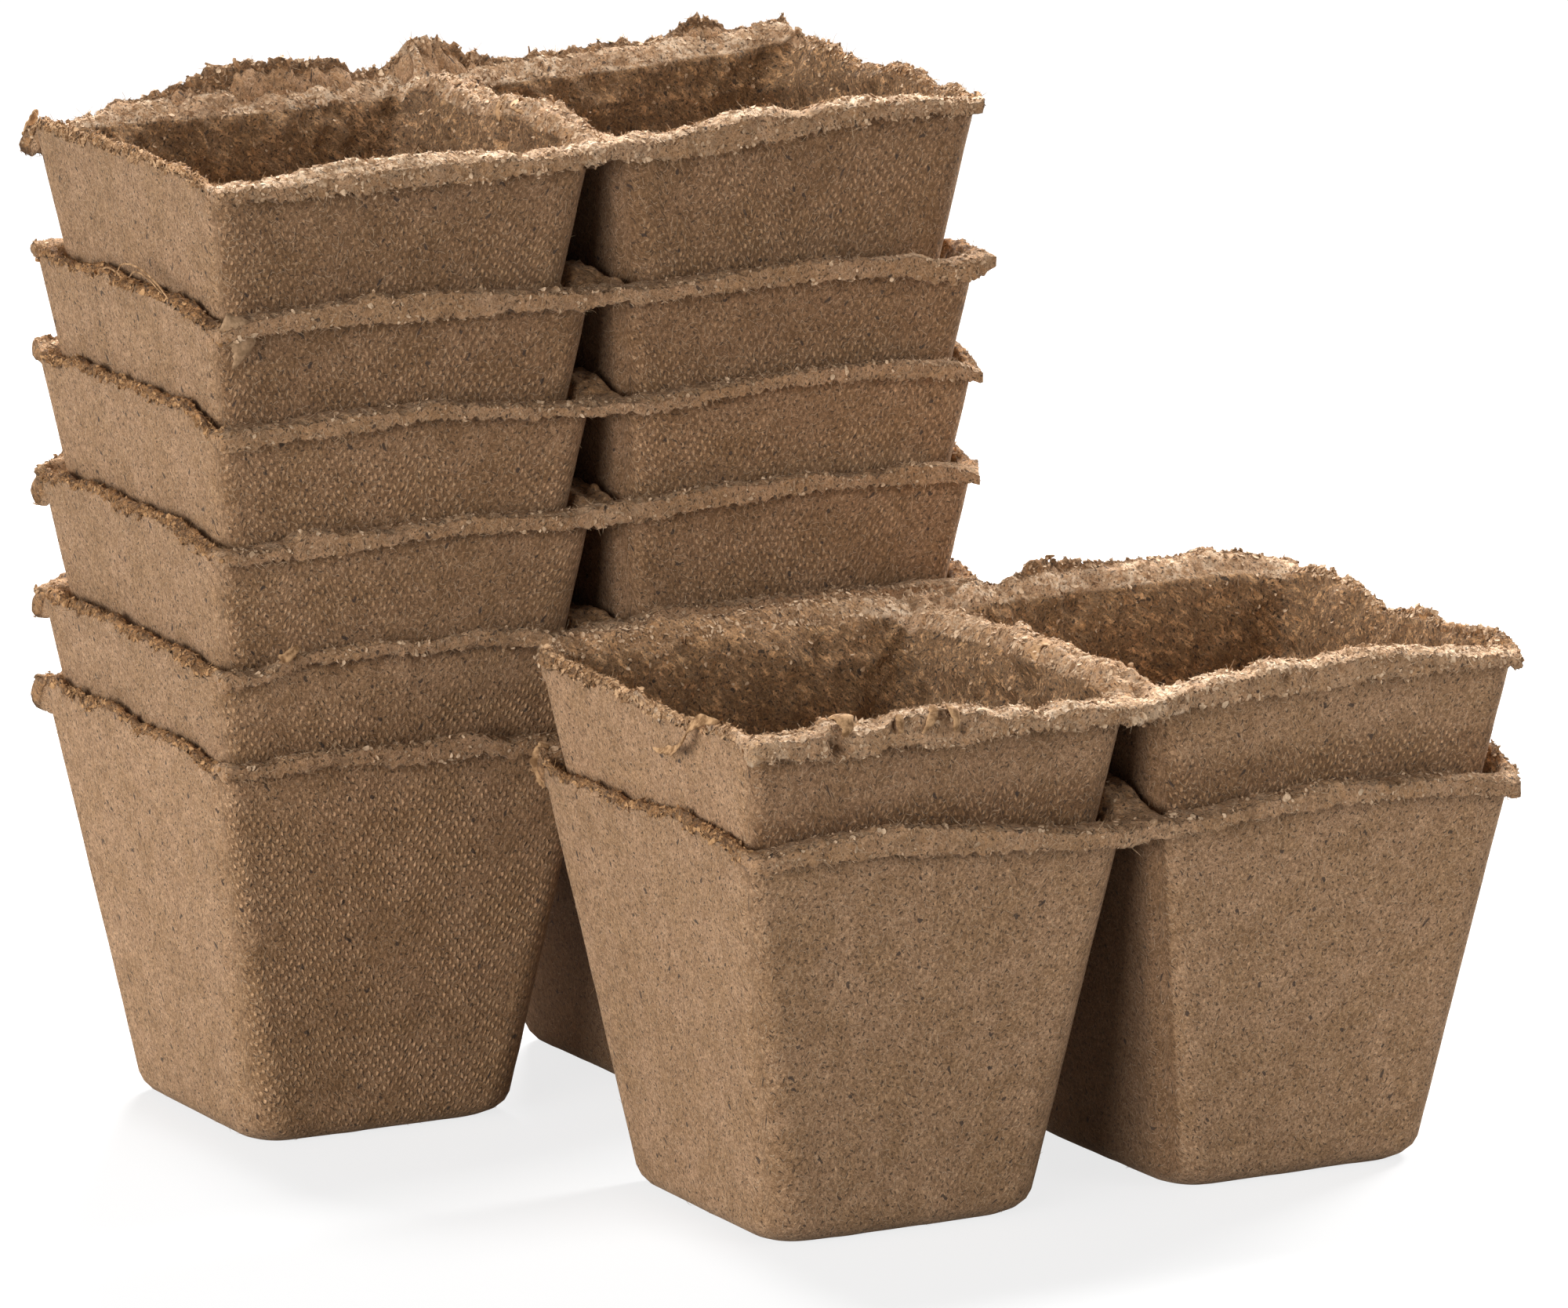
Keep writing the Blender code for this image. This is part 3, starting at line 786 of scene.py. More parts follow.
class Tree:
    """A material's nodes, with short ways to join them."""

    def __init__(self, name, inputs):
        self.material = bpy.data.materials.new(name)
        self.material.use_nodes = True
        self.tree = self.material.node_tree
        self.tree.nodes.clear()
        self.shader = self.node("BsdfPrincipled", inputs)
        self.node("OutputMaterial", {0: self.shader.outputs[0]})
        self.where = self.node("TexCoord").outputs["Object"]

    def node(self, kind, inputs=(), **values):
        return node(self.tree, kind, inputs, **values)

    def mask(self, name):
        return self.node("Attribute", attribute_name=name).outputs["Fac"]

    def maths(self, operation, *values, clamp=False):
        return self.node("Math", enumerate(values), operation=operation, use_clamp=clamp).outputs[0]

    def total(self, found, *others):
        for value in others:
            found = self.maths("ADD", found, value)
        return found

    def times(self, found, *others):
        for value in others:
            found = self.maths("MULTIPLY", found, value)
        return found

    def vector(self, operation, first, second):
        return self.node("VectorMath", {0: first, 1: second}, operation=operation).outputs[0]

    def texture(self, scale, detail, rough_share, source=None):
        inputs = {"Vector": source or self.where, "Scale": scale, "Detail": detail, "Roughness": rough_share}
        return self.node("TexNoise", inputs).outputs["Fac"]

    def ramp(self, value, low, high, low_out=0.0, high_out=1.0):
        inputs = {"Value": value, "From Min": low, "From Max": high, "To Min": low_out, "To Max": high_out}
        return self.node("MapRange", inputs, clamp=True, interpolation_type="SMOOTHSTEP").outputs[0]

    def mix(self, factor, first, second, blend="MIX"):
        return self.node("Mix", {0: factor, 6: first, 7: second}, data_type="RGBA", blend_type=blend).outputs[2]

    def tinted(self, factor, colour, tint):
        return self.mix(factor, colour, tint, "MULTIPLY")

    def slanted(self):
        """Object coordinates, turned and squeezed so that a texture on them runs in slanted streaks."""
        inputs = {"Vector": self.where, "Axis": (0.55, 0.8, 0.2), "Angle": 1.0}
        turned = self.node("VectorRotate", inputs, rotation_type="AXIS_ANGLE").outputs[0]
        return self.vector("MULTIPLY", turned, (1.6, 1.6, 0.50))

    def marks(self, flat, cell, length, width, seed, share):
        """Short bent marks, one at most in each cell, each turned its own way."""
        moved = self.vector("ADD", flat, (seed * 1.37, seed * 0.71, 0))
        cells = self.node("TexVoronoi", {"Vector": moved, "Scale": 1 / cell}, voronoi_dimensions="2D", feature="F1")
        away = self.vector("SUBTRACT", moved, cells.outputs["Position"])
        turn, chance, stretch = self.node("SeparateColor", {0: cells.outputs["Color"]}).outputs
        inputs = {"Vector": away, "Angle": self.times(turn, math.tau)}
        turned = self.node("VectorRotate", inputs, rotation_type="Z_AXIS").outputs[0]
        x, y, _ = self.node("SeparateXYZ", {0: turned}).outputs
        off_line = self.maths("ABSOLUTE", self.maths("SUBTRACT", y, self.times(x, x, 0.30 / length)))
        size = self.times(self.total(self.times(stretch, 0.8), 0.3), length)
        along = self.maths("DIVIDE", self.maths("ABSOLUTE", x), size)
        narrow = self.ramp(along, 0.55, 1.0, width, 0.00001)
        thin = self.maths("SUBTRACT", 1.0, self.maths("DIVIDE", off_line, narrow), clamp=True)
        within = self.maths("LESS_THAN", along, 1.0)
        present = self.maths("LESS_THAN", chance, share)
        return self.ramp(self.times(thin, within, present), 0.0, 0.45)

    def finished(self, colour, height):
        """The material with its colour and its relief, whose height is in metres."""
        bump = self.node("Bump", {"Strength": 1.0, "Distance": 1.0, "Height": height})
        self.tree.links.new(colour, self.shader.inputs["Base Color"])
        self.tree.links.new(bump.outputs[0], self.shader.inputs["Normal"])
        return self.material


def pulp_material(name, tone_and_light):
    """Moulded pulp: felted, finely grained, flecked with bark and straw, printed by the mould's wire screen."""
    made = Tree(name, {
        "Roughness": 0.92, "Specular IOR Level": 0.15,
        "Sheen Weight": 0.10, "Sheen Roughness": 0.6, "Sheen Tint": (1.0, 0.86, 0.70),
    })
    flat = made.node("UVMap", uv_map="flat").outputs[0]
    torn, inside, lip, printed, painted_shade = (made.mask(mask) for mask in MASKS)

    # The wire screen's dots, in staggered rows
    flat_parts = made.node("SeparateXYZ", {0: flat}).outputs
    bend = made.times(made.maths("SUBTRACT", made.texture(45, 1.0, 0.5), 0.5), 3.0)
    over, up = (made.times(part, math.tau / step) for part, step in zip(flat_parts, DOT_STEPS))
    waves = [made.maths("SINE", made.total(made.maths(sign, over, up), bend)) for sign in ("ADD", "SUBTRACT")]
    patchy = made.ramp(made.texture(75, 2.0, 0.6), 0.32, 0.60, 0.35, 1.0)
    dots = made.times(made.ramp(made.total(*waves), 0.1, 1.7), patchy, printed)

    # Mottling and grain, then dots: the dots lighter, partly dust and partly painted highlight, with painted shade
    # between them
    colour = tuple(channel * tone_and_light for channel in PULP_BASE)
    for scale, detail, rough_share, low, high, dark, light in GRAINS:
        share = made.ramp(made.texture(scale, detail, rough_share), low, high)
        colour = made.tinted(1.0, colour, made.mix(share, dark, light))
    gaps = made.maths("SUBTRACT", printed, dots, clamp=True)
    colour = made.tinted(made.times(gaps, 0.75), colour, GAP_PAINTED_SHADE_TINT)
    colour = made.tinted(made.times(dots, 0.80), colour, DOT_DUST_AND_HIGHLIGHT_TINT)

    # Felted inside; lip and ledge lighter, partly dust and partly painted highlight; torn ends stained, with a painted
    # glow on the back lip's torn edge; painted shade in creases and on the fronts
    colour = made.tinted(inside, colour, INSIDE_TINT)
    streak = made.ramp(made.texture(430, 6.0, 0.76, made.slanted()), 0.40, 0.58)
    between_streaks = made.times(inside, made.maths("SUBTRACT", 1.0, streak), 0.70)
    colour = made.tinted(between_streaks, colour, STREAK_TINT)
    # Painted highlight in patches where the lip mask is set
    painted_highlight_patches = made.ramp(made.texture(640, 4.0, 0.72), 0.44, 0.58)
    painted_highlight_patches = made.times(painted_highlight_patches, made.ramp(made.texture(150, 2.0, 0.5), 0.38, 0.58, 0.15, 1.0))
    colour = made.mix(made.times(lip, painted_highlight_patches, 0.72), colour, PAINTED_HIGHLIGHT)
    # Lip lighter: partly dust, partly painted highlight
    colour = made.tinted(made.times(lip, 0.60), colour, LIP_DUST_AND_HIGHLIGHT_TINT)
    rust = made.mix(made.ramp(made.texture(620, 3.0, 0.65), 0.40, 0.60), *RUST_AND_GLOW)
    stained = made.times(torn, 0.90, made.ramp(made.texture(300, 2.0, 0.6), 0.28, 0.50, 0.35, 1.0))
    colour = made.mix(stained, colour, rust)
    # Painted shade from its mask: under lips, between the pots, in bites and dents, on the back flange and on the
    # fronts
    colour = made.tinted(made.times(painted_shade, 0.75), colour, PAINTED_SHADE_TINT)
    flecks = []
    for *sizes, strength, fleck_colour in FLECKS:
        flecks.append(made.marks(flat, *sizes))
        colour = made.mix(made.times(flecks[-1], strength), colour, fleck_colour)

    # Relief: the dots on the outside, felt and fibres everywhere
    torn_share = made.total(made.times(made.maths("MAXIMUM", inside, torn), 2.4), made.times(lip, 1.4), 0.80)
    felt = made.times(made.texture(1250, 5.0, 0.70), torn_share, FELT_HEIGHT)
    coarse = made.times(made.texture(430, 3.0, 0.62), torn_share, COARSE_FELT_HEIGHT)
    slant = made.times(streak, inside, STREAK_HEIGHT)
    straw_and_bark = made.times(made.total(flecks[0], flecks[-1]), FLECK_HEIGHT)
    return made.finished(colour, made.total(made.times(dots, DOT_HEIGHT), felt, coarse, slant, straw_and_bark))


def shred_material(name, dark, light, scale):
    """Torn fibre and flakes, from straw to brown, and stained where the torn mask says so."""
    made = Tree(name, {"Roughness": 0.85, "Specular IOR Level": 0.2})
    share = made.ramp(made.texture(scale, 3.0, 0.6), 0.36, 0.64)
    stain = made.mix(share, *SHRED_RUST)
    colour = made.mix(made.mask("torn"), made.mix(share, dark, light), stain)
    return made.finished(colour, made.times(made.texture(1800, 3.0, 0.6), SHRED_HEIGHT))


# Rims as they are torn. Lips: x, top and bottom of the front lip over the strip's base, in millimetres
LIPS = {
    "left_strip_1": (
        (-79, 74.3, 71.4), (-73, 73.3, 71.5), (-68.6, 73.8, 71.7), (-65.5, 74.6, 72.0), (-57.9, 74.9, 72.6),
        (-54.9, 75.0, 72.7), (-48.8, 74.9, 72.2), (-45.7, 74.7, 71.6), (-39.5, 74.2, 71.0), (-34.9, 75.0, 71.2),
        (-31.8, 75.5, 71.4), (-27.1, 74.7, 71.2), (-22.4, 73.7, 71.0), (-14.6, 73.1, 70.6), (-8.3, 73.0, 70.4),
        (1.3, 72.8, 70.3), (20, 74.0, 70.6), (42, 73.2, 70.2), (60, 74.2, 70.6), (76, 72.4, 69.8),
    ),
    "left_strip_2": (
        (-79, 73.6, 71.2), (-75.8, 74.0, 71.4), (-72.9, 73.2, 71.8), (-69.8, 73.4, 72.3), (-66.8, 75.1, 73.0),
        (-63.8, 75.8, 73.6), (-57.7, 76.2, 74.0), (-48.6, 76.5, 74.2), (-42.4, 75.9, 74.0), (-36.3, 75.2, 73.3),
        (-30.1, 76.5, 73.7), (-23.8, 76.1, 73.4), (-17.6, 75.3, 72.4), (-14.5, 74.7, 71.8), (-11.3, 74.0, 71.3),
        (-6.6, 74.1, 70.9), (1.3, 75.0, 71.8), (6.1, 76.2, 72.4), (14.1, 76.4, 72.4), (17.3, 75.6, 72.2),
        (33.5, 75.4, 71.9), (49.9, 74.9, 71.6), (58.1, 73.9, 71.5), (63.1, 74.2, 71.4), (71.5, 73.0, 71.1),
        (74.8, 72.0, 70.4),
    ),
    "left_strip_3": (
        (-79, 72.5, 70.5), (-71, 72.4, 70.5), (-65, 73.1, 70.7), (-62, 75.0, 70.7), (-60.5, 75.2, 70.6),
        (-55.9, 74.4, 70.8), (-52.9, 73.9, 70.7), (-45.3, 73.3, 71.1), (-40.7, 73.9, 71.6), (-34.5, 73.9, 71.5),
        (-29.9, 74.6, 71.6), (-22.2, 73.7, 71.2), (-14.4, 73.0, 70.8), (-9.7, 72.5, 70.2), (-4.9, 73.4, 69.9),
        (1.4, 74.0, 70.4), (9.3, 74.2, 70.9), (17.3, 74.5, 71.2), (22.2, 75.0, 71.3), (28.6, 74.3, 71.4),
        (33.5, 74.7, 71.6), (38.3, 75.0, 71.7), (43.2, 74.2, 71.8), (49.8, 73.6, 71.7), (56.4, 73.9, 71.3),
        (59.7, 74.8, 71.1), (64.6, 74.2, 70.8), (68, 73.6, 70.7), (72.1, 72.4, 70.4), (74.7, 71.3, 69.9),
    ),
    "left_strip_4": (
        (-79, 71.7, 69.0), (-72.2, 72.5, 69.3), (-67.8, 72.3, 69.9), (-60.2, 73.0, 70.2), (-55.7, 73.5, 70.4),
        (-48.1, 73.6, 70.8), (-43.6, 73.3, 71.2), (-42, 72.9, 71.2), (-37.4, 74.3, 71.4), (-34.4, 74.1, 71.3),
        (-29.8, 73.2, 71.0), (-22, 72.7, 70.6), (-14.3, 72.1, 70.4), (-6.4, 71.8, 70.1), (1.4, 71.8, 69.9),
        (9.4, 72.0, 70.0), (17.3, 72.4, 70.2), (25.4, 73.0, 70.9), (30.2, 73.5, 71.4), (33.4, 74.0, 71.8),
        (39.9, 74.4, 71.9), (49.7, 74.4, 71.8), (57.9, 74.5, 71.3), (62.9, 73.5, 71.0), (67.8, 73.1, 70.7),
        (72, 72.1, 69.9), (75.3, 70.9, 69.0),
    ),
    "left_strip_5": (
        (-79, 71.4, 69.3), (-75, 72.0, 69.9), (-72, 73.4, 70.6), (-66, 73.9, 70.9), (-60, 74.4, 71.2),
        (-57, 75.0, 71.0), (-52.5, 74.8, 71.0), (-47.9, 75.7, 70.9), (-44.9, 75.2, 70.5), (-37.3, 75.2, 70.3),
        (-29.6, 75.0, 70.6), (-21.9, 74.1, 70.8), (-14.1, 73.2, 70.4), (-6.3, 72.7, 70.1), (1.5, 72.6, 70.1),
        (9.4, 72.5, 70.2), (17.4, 73.3, 70.7), (23.7, 73.9, 71.0), (30.2, 74.6, 71.4), (36.6, 75.7, 71.8),
        (43.1, 75.7, 71.8), (51.2, 75.1, 71.9), (57.8, 74.7, 71.5), (61.1, 75.4, 71.0), (64.4, 73.8, 70.4),
        (69.3, 73.0, 69.6), (74.3, 73.2, 70.3), (78, 73.6, 71.9),
    ),
    "left_strip_6": (
        (-79, 73.0, 70.9), (-74.6, 73.1, 70.8), (-70.1, 73.2, 71.0), (-65.7, 73.4, 71.0), (-59.7, 73.7, 70.9),
        (-52.2, 74.0, 70.7), (-44.6, 74.2, 70.6), (-37, 74.1, 70.9), (-29.4, 74.2, 70.5), (-21.7, 74.1, 70.7),
        (-19.4, 73.4, 70.7), (-14, 73.3, 70.7), (-6.2, 73.3, 70.6), (-1.5, 73.7, 70.9), (9.5, 74.0, 70.5),
        (17.4, 74.7, 69.9), (25.3, 76.0, 70.9), (30.1, 76.2, 71.1), (33.3, 75.7, 71.4), (38.2, 74.7, 71.7),
        (43, 75.6, 72.0), (49.5, 75.5, 72.1), (57.6, 74.6, 72.2), (65.8, 74.2, 71.4), (70.8, 73.4, 71.0),
        (74.1, 73.1, 70.8),
    ),
    "right_strip_1": (
        (-79, 72.9, 69.6), (-76.9, 72.5, 69.8), (-72.5, 72.8, 70.4), (-68, 73.8, 70.7), (-63.6, 74.6, 70.8),
        (-57.6, 75.0, 70.9), (-50.1, 75.5, 70.6), (-45.6, 74.9, 69.8), (-42.5, 74.2, 69.5), (-34.9, 73.4, 69.2),
        (-27.3, 72.4, 68.9), (-19.6, 71.5, 68.6), (-11.8, 70.9, 68.2), (-5.6, 70.4, 67.8), (0.6, 70.9, 68.3),
        (6.9, 71.1, 68.9), (13.2, 71.4, 69.3), (19.6, 72.3, 69.7), (22.7, 73.0, 69.9), (27.5, 72.5, 70.1),
        (32.3, 74.2, 70.2), (35.5, 74.6, 70.2), (42, 73.7, 70.4), (48.5, 72.9, 70.3), (51.7, 73.3, 70.2),
        (59.9, 72.6, 69.8), (64.9, 72.2, 69.6), (69.8, 71.4, 69.0), (73.5, 70.8, 68.2),
    ),
    "right_strip_2": (
        (-79, 75.2, 72.2), (-72.5, 74.9, 72.0), (-65.1, 74.8, 71.2), (-64, 76.1, 70.8), (-62.1, 76.2, 70.7),
        (-60.4, 74.8, 70.7), (-57.7, 74.5, 70.8), (-53.2, 74.9, 70.8), (-50.2, 76.1, 70.6), (-45.7, 76.2, 70.7),
        (-39.7, 76.1, 70.2), (-33.6, 75.2, 70.4), (-30.5, 73.5, 70.8), (-27.5, 74.3, 70.9), (-24.4, 73.7, 71.0),
        (-21.3, 72.8, 71.0), (-16.7, 74.2, 70.7), (-12.1, 72.9, 70.2), (-5.9, 72.4, 69.8), (-1.2, 72.1, 69.6),
        (3.4, 73.1, 69.9), (9.7, 73.8, 70.4), (16, 74.1, 70.7), (19.2, 73.9, 70.8), (22.3, 75.4, 70.9),
        (28.7, 75.1, 70.7), (31.9, 74.5, 70.5), (35.1, 75.3, 70.6), (43.1, 75.3, 70.9), (51.2, 74.8, 71.0),
        (59.4, 73.5, 71.0), (64.3, 72.9, 70.9), (69.2, 72.3, 70.6), (72.9, 71.7, 69.9),
    ),
}

# How far the torn back edge curls up over the rim, in millimetres, by x
PLAIN_BACK = ((-80, 0.4), (-70, 1.2), (-40, 2.0), (0, 2.2), (40, 1.8), (80, 1.0))
BACKS = {
    "left_strip_6": (
        (-79, -1.8), (-75, -3.6), (-72.3, -2.4), (-66, -0.9), (-60, 0.6), (-50.5, 2.9), (-44, 4.9), (-41, 6.0),
        (-34.8, 6.9), (-25, 6.1), (-14, 5.4), (-12.4, 3.3), (-6, 3.3), (-2, 6.0), (2, 7.2), (6.2, 7.2), (10.3, 4.2),
        (20.2, 2.0), (30, 2.4), (40, 2.2), (47, 1.8), (53.6, 1.8), (57, 4.0), (60.4, 4.7), (63.8, 3.9), (67, 1.6),
        (74, 1.4), (79, 1.6),
    ),
    "right_strip_2": (
        (-79, 0.2), (-66.5, 0.5), (-58, 1.1), (-42, 1.2), (-30, 1.2), (-10, 1.9), (6, 1.9), (15.5, 0.4), (22, 2.2),
        (25, 3.6), (27, 3.0), (35, 2.3), (52, 1.5), (71, 1.0), (76, 0.6), (80, 0.0),
    ),
}

# How far the ridge between the pots and the right end's rim differ from a straight line, in millimetres, by y
LEVEL = ((-40, 0), (40, 0))
CRESTS = {
    "left_strip_6": (
        (-36, -0.6), (-31, 0.2), (-24, 0.7), (-20.6, 0.8), (-14.5, 1.4), (-9.3, 2.0), (-2.1, 1.5), (6.3, 0.5),
        (16.7, 1.3), (29.6, 2.4), (40, 0.5),
    ),
    "right_strip_2": ((-36, 0.4), (-31.2, 0.2), (-15.8, -0.4), (2.6, -0.5), (21.4, -1.7), (40, -2.0)),
}
RIGHT_RIMS = {
    "left_strip_6": ((-36, 0.3), (-32.9, 0.6), (-21.6, -1.6), (-13, -0.6), (-1.4, -0.8), (7.4, -1.4), (37.6, 1.2)),
    "right_strip_2": (
        (-32, -2.4), (-27.3, -3.2), (-13.8, -4.0), (-10, -2.7), (0, -3.4), (5, -4.2), (12.7, -2.3), (23, -1.4),
        (36, -1.8),
    ),
}
LEFT_RIMS = {"right_strip_1": ((-30, 0), (-8, -0.3), (6, -1.8), (20, -2.6), (32, -2.4), (40, -1.6))}
CROWNS = {"left_strip_6": ((-68, 0), (-62, 0.7), (-56, 1.2), (-38, 1.1), (-28, 0.3), (-20, 0))}
LIP_WIDTHS = {"left_strip_2": ((-69, 3.2), (-64, 1.5), (-20, 1.5), (-13, 3.2))}

# The left end of each back lip: how far it rises and hangs, and how much the right end of its front lip is cut off
TIPS = {
    "left_strip_1": (-2.6, 3.9), "left_strip_2": (-1.5, 2.9), "left_strip_3": (-2.2, 4.1), "left_strip_4": (0.5, 2.4),
    "left_strip_5": (-0.3, 1.8), "left_strip_6": (-0.5, 1.9),
    "right_strip_1": (-0.3, 5.0), "right_strip_2": (-1.0, 3.0),
}
LEFT_INS = {"left_strip_4": 1.3, "left_strip_5": 0.7, "left_strip_3": 0.5, "right_strip_1": 2.0, "right_strip_2": 2.0}
RIGHT_CUTS = {
    "left_strip_1": 3.0, "left_strip_2": 4.0, "left_strip_3": 3.4, "left_strip_4": 2.6, "left_strip_5": 0.6,
    "left_strip_6": 3.6, "right_strip_1": 3.6, "right_strip_2": 3.6,
}

# Bites out of the front: x, height, half width, half height and depth, in millimetres
BITES = {
    "right_strip_2": (
        (-62.2, 72.6, 2.4, 1.1, 2.2), (-61.8, 70.6, 3.0, 0.8, 2.6), (-51.2, 73.8, 0.9, 1.6, 1.6),
        (-48.7, 74.5, 0.9, 0.8, 1.4), (-43.2, 74.6, 1.3, 0.9, 1.3), (-40.6, 74.6, 1.0, 0.7, 1.4),
        (-38.5, 70.9, 1.3, 0.9, 1.6), (-35, 73.6, 1.6, 0.8, 0.9), (25.5, 72.2, 1.6, 0.8, 1.2),
        (31.0, 72.4, 1.2, 0.9, 1.1), (36.5, 73.0, 1.8, 0.7, 0.9),
    ),
    "left_strip_2": (
        (-60, 72.6, 3.0, 1.4, 1.2), (-53, 71.8, 4.0, 1.6, 1.4), (-46, 72.4, 3.0, 1.5, 1.6),
        (-37, 71.6, 4.0, 1.6, 1.3), (-28, 72.2, 3.0, 1.4, 1.5), (-21, 71.6, 2.4, 1.2, 1.0),
    ),
    "left_strip_6": ((28, 74.2, 1.6, 0.8, 1.0), (34, 73.6, 1.4, 0.7, 0.8)),
}

# Dents (and, where the depth is negative, lumps) on other walls and rims: x, y, height, size and depth, in millimetres
DENTS = {
    "right_strip_2": (
        (-2.5, 4.0, 72.8, 2.6, 2.2), (-2.5, -0.5, 73.6, 3.2, -1.7), (-2.5, -4.5, 73.2, 3.6, -1.6),
        (-2.5, -8.5, 72.6, 2.8, -1.2), (-3.0, -2.6, 67.2, 2.0, 2.0), (-3.0, -4.6, 68.8, 2.0, 2.0),
        (-3.0, -6.6, 70.2, 1.8, 1.7), (-1.0, -27.0, 73.6, 2.2, -1.2), (-1.5, 16.0, 74.6, 2.4, -1.0),
        (-1.5, 24.0, 75.2, 2.2, -0.8),
    ),
    "left_strip_6": (
        (-2.0, -3.0, 75.2, 2.6, -1.3), (-2.4, -12.0, 74.6, 2.6, -1.0), (-3.0, -16.0, 72.4, 1.8, 1.4),
        (-1.5, 8.0, 75.4, 2.4, -0.9), (-1.5, 22.0, 75.9, 2.6, -0.8),
    ),
}

# Painted shade on the front walls: how much darker they are, on the left pot and on the right one
FRONT_PAINTED_SHADES = {
    "left_strip_1": (0, 0), "left_strip_2": (0, 0), "left_strip_3": (0.32, 0.48), "left_strip_4": (0.38, 0.38),
    "left_strip_5": (0.62, 0.56), "left_strip_6": (0.52, 0.54), "right_strip_1": (0.12, 0),
    "right_strip_2": (0.62, 0.12),
}
# Each strip's overall tone: partly tone that differs from strip to strip, partly painted light, lighter low in the left
# stack and darker near its top to even out how light falls on the fronts
TONES_AND_PAINTED_LIGHT = {
    "left_strip_1": 1.10, "left_strip_2": 1.0, "left_strip_3": 0.98, "left_strip_4": 1.0, "left_strip_5": 0.96,
    "left_strip_6": 0.94, "right_strip_1": 1.02, "right_strip_2": 1.05,
}


def stack_place(node_name):
    """The middle of a stack's standing strip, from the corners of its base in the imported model."""
    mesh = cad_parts[node_name].data
    points = np.zeros(len(mesh.vertices) * 3)
    mesh.vertices.foreach_get("co", points)
    points = points.reshape(-1, 3)
    base = points[points[:, 2] < 0.0001]
    return (base.min(0) + base.max(0))[:2] / 2


# How strips are meshed and torn: the top ones and those with another in them, the standing ones and the others
TOP_LOOK = {
    "nested": False, "floor_rows": 5, "inner_rows": 40, "inner_dense": 0.60, "inner_lumps": 0.00115,
    "rim_lumps": 0.00035, "back_lip": 0.0030, "back_wander": 0.0005, "back_rounding": 0.0017, "back_reach": 0.20,
    "jag": 0.00036, "ledge": 1.0, "inner_round": 0.0030, "fray": 0.00045, "lip_fray": 0.0004, "flakes": 6000,
}
NESTED_LOOK = {
    "nested": True, "floor_rows": 4, "inner_rows": 12, "inner_dense": 0.15, "inner_lumps": 0.00045,
    "rim_lumps": 0.00010, "back_lip": 0.0032, "back_wander": 0.0011, "back_rounding": 0.0008, "back_reach": 0.0,
    "jag": 0.00030, "ledge": 0.0, "inner_round": 0.0, "fray": 0.00030, "lip_fray": 0.0002, "flakes": 1300,
}
STANDING_LOOK = {"base_rows": 6, "outer_rows": 34, "outer_dense": 1.0}
RAISED_LOOK = {"base_rows": 3, "outer_rows": 20, "outer_dense": 0.45}
TIP_FULL = {"right_strip_1": 0.0722}
PLAIN_TIP_FULL = 0.0765


def look_of(name, top, standing):
    """How one strip is meshed and torn."""
    return {
        **(TOP_LOOK if top else NESTED_LOOK),
        **(STANDING_LOOK if standing else RAISED_LOOK),
        "lip": LIPS[name],
        "lip_width": LIP_WIDTHS.get(name, ((-80, LIP_WIDTH * 1000), (80, LIP_WIDTH * 1000))),
        "crown": CROWNS.get(name, LEVEL),
        "crest": CRESTS.get(name, LEVEL),
        "right_rim": RIGHT_RIMS.get(name, LEVEL),
        "left_rim": LEFT_RIMS.get(name, LEVEL),
        "right_cut": RIGHT_CUTS[name] / 1000,
        "left_in": LEFT_INS.get(name, 0.0) / 1000,
        "back": BACKS.get(name, PLAIN_BACK),
        "tip": [size / 1000 for size in TIPS[name]],
        "tip_full": TIP_FULL.get(name, PLAIN_TIP_FULL),
        "bites": BITES.get(name, ()),
        "dents": DENTS.get(name, ()),
    }


def strips_of(side, rises, first_seed, turn):
    """The strips of one stack, from the lowest up."""
    place = stack_place(f"{side}_strip_1")
    left = middle = right = 0.0
    found = []
    count = len(rises) + 1
    for number in range(1, count + 1):
        if number > 1:
            rise = rises[number - 2]
            left, middle, right = left + rise[0], middle + rise[1], right + rise[2]
        name = f"{side}_strip_{number}"
        top = number == count
        wall = TOP_WALL if top else wall_for(rises[number - 1])
        strip = Strip(name, wall, (left - middle, right - middle), first_seed + number, look_of(name, top, number == 1))
        strip.middle = middle
        strip.place = place
        strip.turn = turn
        found.append(strip)
    return found


